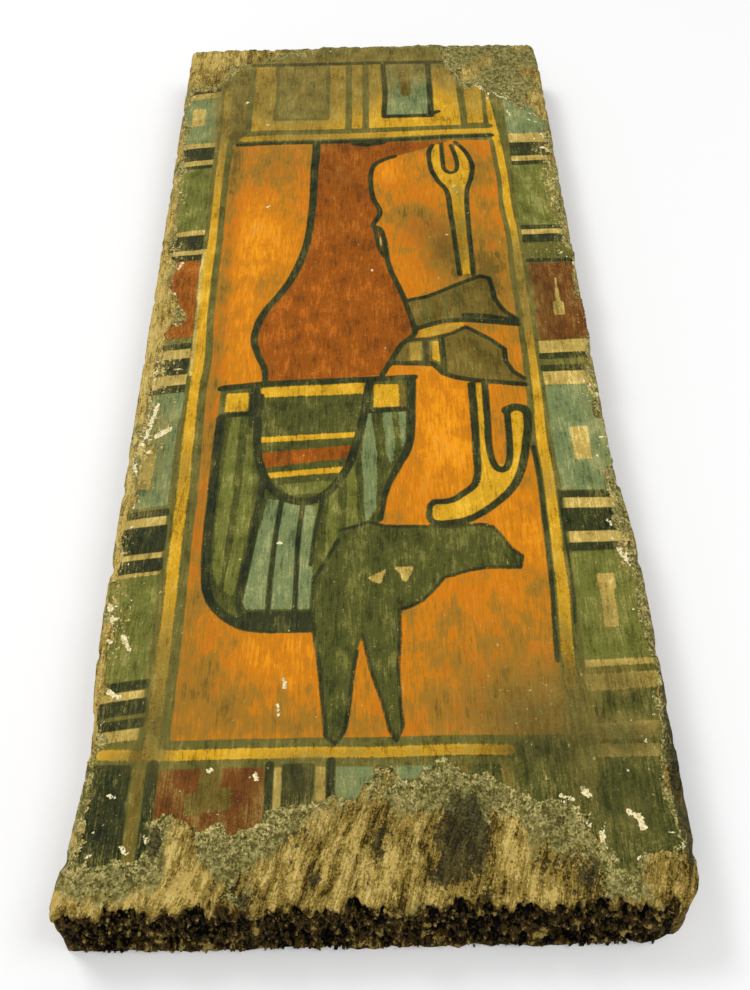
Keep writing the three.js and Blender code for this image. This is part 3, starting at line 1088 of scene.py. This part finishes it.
def slab():
    """The plaster's slab in the design's millimetres, with z 1 on its top and 0 underneath."""
    shape = bmesh.new()
    bmesh.ops.create_grid(shape, x_segments=SKIN_ACROSS, y_segments=SKIN_ALONG, size=0.5)
    x, y = plan_of(shape.verts)
    x, y = plank_plan(x + 0.5, y + 0.5, np.ones(len(x)))
    move_points(shape.verts, x, y)
    middles = np.array([f.calc_center_median()[:2] for f in shape.faces]).T
    lost = [f for f, held in zip(shape.faces[:], plaster(*middles)) if held < 0]
    bmesh.ops.delete(shape, geom=lost, context="FACES")
    rim = [v for v in shape.verts if v.is_boundary]
    move_points(rim, *onto_edge(*plan_of(rim), COARSE_MOVE))

    made = bmesh.ops.extrude_face_region(shape, geom=shape.faces[:], use_keep_orig=True)
    raised = [v for v in made["geom"] if isinstance(v, bmesh.types.BMVert)]
    bmesh.ops.translate(shape, verts=raised, vec=(0, 0, 1))
    cut_finer(shape, lambda p: p.z > 0.5, SKIN_CUTS)
    upper = [v for v in shape.verts if v.co.z > 0.5]
    rim = [v for v in upper if any(w.co.z < 0.5 for f in v.link_faces for w in f.verts)]
    move_points(rim, *onto_edge(*plan_of(rim), FINE_MOVE))
    bmesh.ops.recalc_face_normals(shape, faces=shape.faces)
    return shape


skin_mesh = mesh_of(slab(), "painted_plaster")
print("the plaster has", count_triangles(skin_mesh), "triangles")

# %% [markdown]
# ## The plaster's own relief, and the picture stored on it
#
# Plaster follows the wood it lies on, so faint ridges of the grain show through. It thins at its broken
# edges, and small flakes have come off it. With every point in place, the picture is worked out at each
# one and stored under the names of its coats of paint.

# %% The plaster's relief and its paint
# Soft spots on the picture: bright and browned (below zero), grimy, filmed over with brown varnish, and worn.
BRIGHT = (
    (-24, 24, 24, 26, 0.9), (36, -60, 12, 26, 0.5), (-57, 84, 17, 34, 0.9), (-36, -164, 16, 13, 0.8),
    (38, -45, 17, 40, 0.9), (68, -100, 9, 20, 0.7), (13, 139, 11, 9, 0.8), (-62, 20, 10, 40, 0.4),
    (32, 70, 14, 20, 0.4), (70, 100, 6, 30, 0.2), (98, 118, 14, 28, 0.9), (98, -50, 14, 34, 0.9),
    (98, 190, 14, 20, 0.5),
)
BROWNED = (
    (-73, 0, 4, 170, -1.3), (-60, -176, 16, 14, -0.6), (-52, 143, 26, 24, -1.1), (32, 96, 15, 13, -1.2),
    (60, 46, 18, 30, -1.7), (56, -176, 34, 30, -1.1), (-64, -165, 13, 30, -0.7), (66, 140, 10, 24, -1.0),
    (-66, -90, 6, 40, -0.7), (24, -190, 60, 9, -0.6), (68, 84, 9, 34, -1.0), (-77, 200, 8, 60, -1.7),
    (-10, 135, 14, 26, -0.7), (42, 72, 14, 24, -1.3), (66, -50, 5, 24, -0.7), (24, 96, 12, 30, -0.5),
    (62, -6, 12, 12, -0.8), (-30, -190, 40, 7, -0.4), (12, 161, 26, 7, -1.2),
)
GRIME = (
    (88, -222, 34, 26, 0.8), (62, -202, 16, 6, 0.5), (54, -190, 26, 9, 0.2), (66, -178, 18, 28, 0.25),
    (97, -199, 20, 9, 0.6), (80, -160, 6, 30, 0.6), (53, 100, 5, 46, 0.5), (42, 74, 14, 22, 0.6),
    (-60, -220, 20, 12, 0.4), (95, 250, 20, 14, 0.4), (28, -166, 6, 5, 0.4), (113, -215, 3, 40, 1.2),
    (0, -203, 60, 4, 0.3), (-82, -190, 5, 14, 0.7), (-10, 135, 12, 20, 0.3),
)
FILM = (
    (-82, 205, 7, 90, 0.8), (-82, -192, 7, 22, 0.8), (-82, -70, 5, 18, 0.5), (-82, -160, 5, 30, 0.7),
    (-98, -56, 9, 30, 0.55), (10, -203, 60, 3, 0.3), (80, -195, 7, 30, 0.8), (81, -80, 5, 12, 0.5),
    (80, -125, 5, 22, 0.3), (81, -30, 5, 20, 0.2), (81, 42, 5, 40, 1.3), (-42, 216, 40, 44, 1.3),
    (2, 232, 12, 30, 0.8), (30, 244, 30, 22, 1.0), (52, 230, 8, 18, 0.6), (66, 206, 12, 26, 0.6),
    (98, -175, 16, 7, 0.9), (98, -196, 16, 7, 0.8), (98, -146, 5, 10, 0.6), (26, 1, 9, 9, 0.8),
    (40, 15, 14, 5, 0.5), (-90, -204, 14, 6, 0.6), (-26, -214, 14, 12, 0.7), (0, 172, 80, 4, 0.3),
    (51, 96, 5, 50, 0.3), (60, -188, 24, 20, 0.7), (92, 34, 10, 28, 0.3),
)
WORN = (
    (-104, 30, 6, 36, 1.0), (-106, -60, 5, 60, 0.8), (-99, -50, 10, 26, 0.55), (-99, -8, 10, 18, 0.7),
    (-99, -150, 9, 20, 0.4), (-97, 76, 10, 8, 0.4), (109, -20, 6, 14, 0.9), (110, -118, 5, 14, 0.9),
    (107, 158, 8, 24, 0.7), (-107, 140, 5, 40, 0.5), (106, 112, 7, 28, 0.8), (-106, -160, 5, 34, 0.5),
    (108, -60, 4, 70, 0.35), (90, 70, 24, 8, 0.3), (64, 236, 6, 12, 0.7), (-104, 120, 5, 40, 0.5),
    (60, -170, 30, 30, 0.2),
)
# Each chip in the paint is a short stroke: from x, y, to x, y, and its width.
CHIPS = (
    (78, -218, 80, -220, 2.2), (70, -220, 74, -221.6, 1.5), (77, -229.5, 79, -231, 1.6),
    (82.6, -234, 83.4, -241, 2), (93.5, -226, 96, -228, 1.6), (97, -228, 98, -232, 2.6),
    (95, -243, 97, -245, 2.2), (104, -249, 105, -253, 1.6), (109.5, -222, 113, -221.5, 1.7),
    (111, -209, 111.8, -211, 1.2), (-106.5, -174, -97, -179, 1.8), (-99.4, -152, -96, -158.6, 1.8),
    (107, -116, 111, -123, 1.9), (-98.6, -31, -102, -51, 2.0), (-96.5, -50, -91.6, -46, 2.8),
    (-106, -63, -103.6, -74, 1.7), (-106.4, -78, -103, -89, 1.7), (-106.5, -137, -104, -155, 2),
    (-71, 206, -70, 207.4, 1.6), (-16, 191, -16, 192.4, 1.4), (-54, 109.6, -53, 110.6, 1.3),
    (52, 120, 53, 121, 1.2), (50, 125, 51, 125.4, 1), (44, 85, 45, 85.4, 1), (56, 102, 57, 102.4, 1),
    (3.6, 58, 4.4, 58.4, 1), (-38, -109.6, -37, -109.2, 1.3), (-57, 184, -56, 184.6, 1),
    (-35.6, -183, -34.6, -187, 1.3), (-33.4, -172, -32.8, -176, 1), (-42.8, -210, -42, -212.6, 1.3),
    (-60.6, -208.6, -59, -208.4, 1.6), (-96, -217, -94, -218, 1.1), (-89, -236, -87, -238.4, 1.6),
    (-81, -232, -80.6, -234.6, 1.2), (63, 236, 66, 239, 3.4), (60, 228, 61, 224, 1.2),
    (60, 247, 59, 238, 1.1), (66, 222, 73, 219, 1.2), (80, 213, 84, 208, 1.3), (85, 208, 90, 204, 1.1),
    (91, 201, 96, 197, 1.0), (98, 193, 103, 190, 1.0), (86, 197, 88, 190, 0.9), (97, 186, 103, 183, 0.9),
    (104, 172, 108, 166, 1.1), (77, 214, 76, 206, 0.9), (71, 219, 76, 214, 1.3), (104, -100, 106, -103, 1.4),
    (-98, 62, -96, 66, 1.6), (-101, 34, -99, 44, 2.4),
)


def chipped(x, y):
    """How far inside a chip each place is, in millimetres. Small ones crowd near the plaster's edges."""
    d = Drawing(x, y)
    listed = union(*(d.stroke(width, (x0, y0), (x1, y1)) for x0, y0, x1, y1, width in CHIPS))
    near_edge = ramp(plaster(x, y), 14, 0)
    border = ramp(np.abs(x + 1), 84, 96)
    worn = np.clip(spots(x, y, WORN), 0, 1)
    bar = 1.4 - 0.3 * near_edge - 0.14 * border - 0.1 * ramp(y, -150, -215) - 0.35 * worn
    return union(listed, 2.2 * (lumps(joined(x, y, 0) + 60, (2.2, 2.8, 3), 2) - bar))


skin_x, skin_y, on_top = points_of(skin_mesh).T
skin_held = plaster(skin_x, skin_y)
skin_chips = chipped(skin_x, skin_y)
skin_places = joined(skin_x, skin_y, 0)
swell = 0.1 * lumps(skin_places, (5, 50, 6), 2) + 0.1 * lumps(skin_places + 20, (34, 60, 9))
rough_rim = ramp(skin_held, 7, 0) * (0.16 + 0.16 * lumps(skin_places + 44, (1.9, 2.3, 9)))
thinned = 0.25 * ramp(skin_held, 3, 0) + rough_rim + 0.3 * ramp(skin_chips, -0.3, 0.4)
skin_top = THICKNESS - 0.2 + swell - thinned
skin_places[:, 2] = np.minimum(np.where(on_top > 0.5, skin_top, THICKNESS - SKIN_FOOT), THICKNESS)

skin_marks = painted(skin_x, skin_y)
skin_marks["held"] = skin_held
skin_marks["crust"] = crusted(skin_x, skin_y, skin_held)
skin_marks["chips"] = skin_chips
skin_marks["broken"] = on_top < 0.5
for mark, listed in (("tone", BRIGHT + BROWNED), ("grime", GRIME), ("film", FILM), ("worn", WORN)):
    skin_marks[mark] = spots(skin_x, skin_y, listed)
skin = placed(skin_mesh, skin_places, skin_marks)
print("chips cover", round(100 * float((skin_chips > 0).mean()), 1), "% of it")

# %% [markdown]
# ## Sums in a material
#
# A material is a chain of nodes, and a long chain is hard to read. One small class wraps a node's output,
# so that a sum such as 1 - wear * 0.5 adds its own Math nodes. One method adds every other kind of node.

# %% A value that flows through a material
class Flow:
    """The output of a node, which can be used in sums."""

    def __init__(self, socket):
        self.socket = socket
        self.tree = socket.id_data

    def sum_with(self, operation, *values):
        """The result of one Math node."""
        node = self.tree.nodes.new("ShaderNodeMath")
        node.operation = operation
        for slot, value in zip(node.inputs, values):
            connect(self.tree, value, slot)
        return Flow(node.outputs[0])

    def __add__(self, other):
        return self.sum_with("ADD", self, other)

    def __sub__(self, other):
        return self.sum_with("SUBTRACT", self, other)

    def __rsub__(self, other):
        return self.sum_with("SUBTRACT", other, self)

    def __mul__(self, other):
        return self.sum_with("MULTIPLY", self, other)

    def larger(self, other):
        return self.sum_with("MAXIMUM", self, other)

    def smaller(self, other):
        return self.sum_with("MINIMUM", self, other)

    def ramp(self, start, end, low=0.0, high=1.0):
        """low at start, high at end, and smooth between."""
        node = self.tree.nodes.new("ShaderNodeMapRange")
        node.interpolation_type = "SMOOTHSTEP"
        falls = start > end
        sockets = (self, end, start, high, low) if falls else (self, start, end, low, high)
        for slot, value in zip(node.inputs, sockets):
            connect(self.tree, value, slot)
        return Flow(node.outputs[0])


def connect(tree, value, slot):
    """Links a flow to a node's input, or sets the input to a plain number or colour."""
    if isinstance(value, Flow):
        tree.links.new(value.socket, slot)
    else:
        slot.default_value = value


class Finish:
    """One material, and the ways to add to it. Every one has the same fine grit and coarser clumps."""

    def __init__(self, name):
        self.material = bpy.data.materials.new(name)
        self.material.use_nodes = True
        self.tree = self.material.node_tree
        self.shader = self.tree.nodes["Principled BSDF"]
        place = self.node("ShaderNodeTexCoord", output="Object")
        self.place = self.node("ShaderNodeVectorMath", {"operation": "SCALE"}, {0: place, "Scale": 1 / MM})
        self.grit = self.noise(0.9, 3, 0.7, 7.7)
        self.clump = self.noise(2.3, 3, 0.6, 15.7)

    def node(self, kind, settings=None, inputs=None, output=0):
        """Adds a node, and gives one of its outputs."""
        made = self.tree.nodes.new(kind)
        for name, value in (settings or {}).items():
            setattr(made, name, value)
        for name, value in (inputs or {}).items():
            connect(self.tree, value, made.inputs[name])
        return Flow(made.outputs[output])

    def stored(self, name):
        return self.node("ShaderNodeAttribute", {"attribute_name": name}, output="Fac")

    def noise(self, size, detail, roughness, shift=0.0, place=None):
        """A cloudy number about 0.5. size is a lump's length in millimetres, one for all axes or one each."""
        size = size if isinstance(size, tuple) else (size,) * 3
        scaled = self.node("ShaderNodeVectorMath", {"operation": "MULTIPLY_ADD"},
                           {0: place or self.place, 1: tuple(1 / s for s in size), 2: (shift,) * 3})
        return self.node("ShaderNodeTexNoise", None,
                         {"Vector": scaled, "Scale": 1.0, "Detail": detail, "Roughness": roughness}, "Fac")

    def mix(self, share, below, above):
        """The colour above laid over the one below. Each is a flow, or red, green and blue steps."""
        below, above = (c if isinstance(c, Flow) else light_of(c) for c in (below, above))
        return self.node("ShaderNodeMix", {"data_type": "RGBA"}, {0: share, 6: below, 7: above}, 2)

    def done(self, colour, roughness, height, depth, shine):
        """Sets the shader. A bump height of 1 stands depth millimetres high."""
        bump = self.node("ShaderNodeBump", None, {"Height": height, "Distance": depth * MM}, "Normal")
        for name, value in (("Base Color", colour), ("Roughness", roughness), ("Normal", bump),
                            ("Specular IOR Level", shine)):
            connect(self.tree, value, self.shader.inputs[name])
        print(self.material.name, "has", len(self.tree.nodes), "nodes")
        return self.material


STEPS = 255
LINEAR_BELOW = 10.3  # steps this dark and darker are in plain proportion to the light


def light_of(steps):
    """A colour picked as 0 to 255 steps of a screen, turned into light."""
    light = [s / STEPS / 12.92 if s <= LINEAR_BELOW else ((s / STEPS + 0.055) / 1.055) ** 2.4 for s in steps]
    return (*light, 1.0)


print("mid-grey, step 128 of", STEPS, "on a screen, is", round(light_of((128,))[0], 3), "of full light")

# %% [markdown]
# ## The bare wood
#
# Old coffin wood is tan where it was freshly broken, grey-brown where hands and dust have been, and
# nearly black at the break: dark wood, with painted shade in its hollows. Its colour comes in streaks
# along the grain, with the finest streaks the strongest, and its darkest gaps are painted shade.

# %% The finish of bare wood
def crust_share(f):
    """How much of the crust shows at each place, 0 to 1."""
    return (f.stored("crust") + (f.grit - 0.5) * 1.6 + (f.clump - 0.5) * 1.2).ramp(-0.08, 0.12)


def crust_colour(f):
    """Old plaster with dirt in it, grey-olive, with pale crumbs, and pale veins along the skin's edge."""
    grit, clump, held = f.grit, f.clump, f.stored("held")
    grey = f.mix((clump * 0.6 + grit * 0.4).ramp(0.42, 0.58), (92, 88, 42), (162, 154, 92))
    grey = f.mix(grit.ramp(0.43, 0.35) * 0.7, grey, (36, 32, 10))
    rim = held.ramp(-5, -0.5) * held.ramp(3, 0.5)
    crumbs = (grit * 0.6 + clump * 0.4 + rim * 0.03).ramp(0.59, 0.625)
    web = f.noise((4.5, 6, 5), 4, 0.62, 33.0) - 0.5
    vein = web.larger(0 - web).ramp(0.022, 0.008)
    vein = vein * (held + (clump - 0.5) * 30).ramp(-12, -2) * held.ramp(2.5, 0.5)
    return f.mix(crumbs.larger(vein * grit.ramp(0.44, 0.54)), grey, (226, 206, 134))


def bare_wood():
    f = Finish("aged_wood")
    grit, clump, shade = f.grit, f.clump, f.stored("shade")
    wave = f.noise((40, 40, 30), 2, 0.5, 2.0) - 0.5
    along = f.node("ShaderNodeSeparateXYZ", None, {0: f.place}, output="Y") - (LEAN_FROM + MIDDLE[1])
    aside = wave * 10 - along.smaller(0) * GRAIN_LEAN
    shift = f.node("ShaderNodeCombineXYZ", None, {"X": aside, "Z": wave * 6})
    bent = f.node("ShaderNodeVectorMath", {"operation": "ADD"}, {0: f.place, 1: shift})
    fibre = f.noise((0.6, 6, 0.6), 4, 0.75, place=bent)
    streak = f.noise((2.4, 22, 2.4), 5, 0.75, 5.3, place=bent)
    blotch = f.noise((6, 11, 6), 5, 0.7, 12.2)

    # Noises along the grain, from the broadest to the finest, make its tans, bright fibres and dark gaps, the
    # gaps darkened with painted shade.
    ridge = f.stored("ridge")
    grain = streak * 0.38 + blotch * 0.34 + grit * 0.28 + shade * 0.05 + ridge * 0.04
    tan = f.mix(grain.ramp(0.43, 0.48), (80, 64, 20), (150, 126, 56))
    tan = f.mix(grain.ramp(0.51, 0.57), tan, (206, 176, 94))
    gap_shade_and_fibres = fibre * 0.6 + grit * 0.25 + streak * 0.15 + ridge * 0.06 + shade * 0.02
    # The darkest gaps are painted shade in the cracks between fibres.
    tan = f.mix(gap_shade_and_fibres.ramp(0.465, 0.41) * 0.85, tan, (42, 30, 8))
    tan = f.mix(gap_shade_and_fibres.ramp(0.54, 0.6) * 0.7, tan, (236, 212, 136))
    pale = (clump * 0.45 + grit * 0.35 + blotch * 0.2).ramp(0.6, 0.63)
    tan = f.mix(pale * 0.85, tan, (232, 212, 142))

    # Crust clings to its top, its walls are darker towards the foot, and soot blackens a few spots.
    rise = f.stored("rise")
    crust = crust_share(f) * (rise + (clump - 0.5) * 0.6).ramp(0.5, 0.8)
    wood = f.mix(crust * 0.92, tan, crust_colour(f))
    low = (rise + (blotch - 0.5) * 0.5).ramp(0.86, 0.5)
    wood = f.mix(low * 0.6, wood, (74, 56, 22))
    soot = (shade * -1.0 + (blotch - 0.5) * 3.0 + (clump - 0.5) * 1.6).ramp(0.6, 0.75)
    soot_colour = f.mix((grit * 0.5 + streak * 0.5).ramp(0.42, 0.6), (40, 38, 22), (78, 72, 42))
    wood = f.mix(soot * 0.85, wood, soot_colour)

    # The break is nearly black: dark wood, with painted shade in its hollows. Its standing crumbs are
    # brown, with painted highlights.
    hollow = f.stored("hollow")
    knot = f.noise((3.4, 9, 4.4), 3, 0.6, 51.0)
    # crumb mixes random tone with painted shade, darker in the hollows, and painted highlights at its
    # brightest.
    crumb = (knot - 0.5) * 3.4 + (clump - 0.5) * 1.4 + (grit - 0.5) * 0.8 - hollow * 0.55
    dark = f.mix(crumb.ramp(-0.42, -0.14), (3, 2, 1), (72, 56, 22))
    dark = f.mix(crumb.ramp(0.08, 0.42), dark, (170, 146, 76))
    dark_wood_and_shade = f.stored("break") + (clump - 0.5) * 1.6 + (knot - 0.5) * 1.6 + (grit - 0.5) * 0.6
    brown = f.mix(grit.ramp(0.42, 0.58), (66, 50, 18), (130, 106, 48))
    wood = f.mix(dark_wood_and_shade.ramp(0.2, 0.5) * 0.6, wood, brown)
    wood = f.mix(dark_wood_and_shade.ramp(0.52, 0.68), wood, dark)
    height = streak * 0.3 + clump * 0.5 + grit * 0.4 + fibre * 0.5
    return f.done(wood, grit.ramp(0.2, 0.8, 0.75, 0.95), height, depth=1.5, shine=0.08)


wood_finish = bare_wood()
plank.data.materials.append(wood_finish)
fibres.data.materials.append(wood_finish)

# %% [markdown]
# ## The painted plaster
#
# Each coat of paint becomes a mask: 1 well inside its shape, 0 outside, with a ragged edge between. The
# coats are laid in the painter's order over an olive first coat, and a film of browned varnish goes on
# before the outlines, so that they stay crisp. Then age is added: grime has settled, the paint is rubbed
# through in fine streaks along the plank, and small spots have flaked to the pale plaster.

# %% The finish of the painted plaster
def painted_plaster():
    f = Finish("painted_plaster")
    grit, clump, worn = f.grit, f.clump, f.stored("worn")
    streak = f.noise((0.6, 9, 3), 4, 0.7)
    cloud = f.noise((10, 14, 9), 5, 0.65, 9.1)
    patch = f.noise((30, 46, 9), 3, 0.5, 17.5)
    brush = f.noise((1.5, 8, 3), 3, 0.6, 23.0)
    wobble = (grit - 0.5) * 1.1 + (brush - 0.5) * 0.9
    mottle = cloud * 0.4 + streak * 0.22 + brush * 0.2 + grit * 0.18 + f.stored("tone") * 0.025

    def mottled(deep, middle, light):
        return f.mix(mottle.ramp(0.51, 0.58), f.mix(mottle.ramp(0.42, 0.49), deep, middle), light)

    tone = f.stored("tone") + (cloud - 0.5) * 4.6 + (patch - 0.5) * 1.5
    tone = tone + (brush - 0.5) * 2.6 + (streak - 0.5) * 2.4
    orange = f.mix(tone.ramp(-2.2, -1.1), (112, 88, 30), (160, 114, 32))
    orange = f.mix(tone.ramp(-1.0, 0.1), orange, (204, 124, 12))
    orange = f.mix(tone.ramp(0.1, 1.2), orange, (238, 150, 14))
    orange = f.mix(tone.ramp(1.0, 2.2), orange, (252, 178, 50))
    reddened = (patch * 0.4 + cloud * 0.6).ramp(0.5, 0.6)
    orange = f.mix(reddened * 0.35, orange, (196, 98, 8))
    coats = {
        "ochre": orange,
        "dark": mottled((52, 56, 18), (80, 82, 32), (116, 114, 54)),
        "green": mottled((84, 86, 28), (110, 112, 46), (148, 146, 76)),
        "blue": mottled((84, 98, 58), (120, 132, 82), (160, 164, 108)),
        "red": mottled((114, 62, 12), (150, 80, 8), (188, 100, 18)),
        "maroon": mottled((88, 52, 18), (112, 66, 22), (138, 86, 36)),
        "brown": mottled((88, 74, 22), (112, 94, 36), (134, 114, 50)),
        "cream": mottled((138, 118, 50), (188, 160, 80), (242, 214, 124)),
        "edging": mottled((78, 74, 26), (104, 98, 42), (134, 122, 58)),
        "yellow": mottled((160, 120, 20), (212, 160, 30), (246, 192, 54)),
        "line": mottled((28, 34, 16), (52, 56, 26), (86, 86, 42)),
    }
    colour = mottled((74, 74, 26), (102, 98, 40), (134, 124, 58))
    film = (f.stored("film") + (cloud - 0.5) * 0.6 + (brush - 0.5) * 0.8).ramp(0.0, 1.0)
    for coat in COATS:
        if coat == "edging":  # the browned varnish dulls the flat colours more than the outlines
            colour = f.mix(film * 0.8, colour, mottled((88, 76, 28), (130, 112, 50), (162, 144, 74)))
        mask = (f.stored(coat) + wobble).ramp(-0.35, 0.35)
        colour = f.mix(mask, colour, coats[coat])
    colour = f.mix(film * 0.25, colour, (122, 108, 52))

    # Grime has settled on it in places, and it is rubbed through in fine streaks to a pale-brown ground.
    grime = f.stored("grime") + (cloud - 0.5) * 1.6 + (streak - 0.5) * 1.0 + (patch - 0.5) * 1.0
    grime_colour = f.mix(mottle.ramp(0.42, 0.58), (50, 52, 20), (94, 90, 40))
    colour = f.mix(grime.ramp(0.2, 1.1) * 0.85, colour, grime_colour)
    near_edge = f.stored("held").ramp(20, 0)
    rubbed = streak * 0.6 + grit * 0.4 + (cloud - 0.5) * 0.3 + near_edge * 0.08 + worn * 0.1
    colour = f.mix(rubbed.ramp(0.575, 0.68) * 0.38, colour, (160, 142, 76))
    scuffed = (streak * 0.5 + grit * 0.5).ramp(0.43, 0.35)
    colour = f.mix(scuffed * 0.35, colour, (40, 34, 10))

    # Where it is worn off, the ground, the crust or fresh pale plaster shows.
    bare = (worn + (clump - 0.5) * 3.4 + (grit - 0.5) * 1.4 + (brush - 0.5) * 1.4).ramp(0.75, 1.0)
    ground = f.mix((grit * 0.5 + brush * 0.5).ramp(0.42, 0.58), (120, 104, 48), (214, 190, 116))
    colour = f.mix(bare * 0.9, colour, ground)
    crust, old_plaster = crust_share(f), crust_colour(f)
    colour = f.mix(crust * 0.9, colour, old_plaster)
    chips = (f.stored("chips") + (grit - 0.5) * 2.2 + (clump - 0.5) * 2.4).ramp(-0.12, 0.12)
    colour = f.mix(chips, colour, f.mix(grit.ramp(0.4, 0.6), (206, 184, 118), (250, 240, 196)))
    # Tiny pale specks: small flakes to the plaster, and painted glints of the varnish.
    flecks_and_glints = f.noise(0.7, 2, 0.5, 41.0).ramp(0.765, 0.8)
    colour = f.mix(flecks_and_glints, colour, (246, 236, 190))
    colour = f.mix(f.stored("broken").ramp(0.05, 0.4), colour, old_plaster)

    shine = (streak + cloud * 0.5).ramp(0.55, 1.0, 0.34, 0.6)
    matt = chips.larger(crust).larger(bare)
    roughness = shine + (0.85 - shine) * matt
    height = streak * 0.5 + grit * 0.4 + brush * 0.4 + clump * matt * 0.5
    return f.done(colour, roughness, height, depth=0.5, shine=0.07)


skin.data.materials.append(painted_plaster())

# %% [markdown]
# ## Attach and finish
#
# The three pieces stand together for the one solid plank, and all ride on its body.

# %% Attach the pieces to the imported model
for piece in (plank, fibres, skin):
    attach(piece, "root")
    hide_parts("painted_plank")
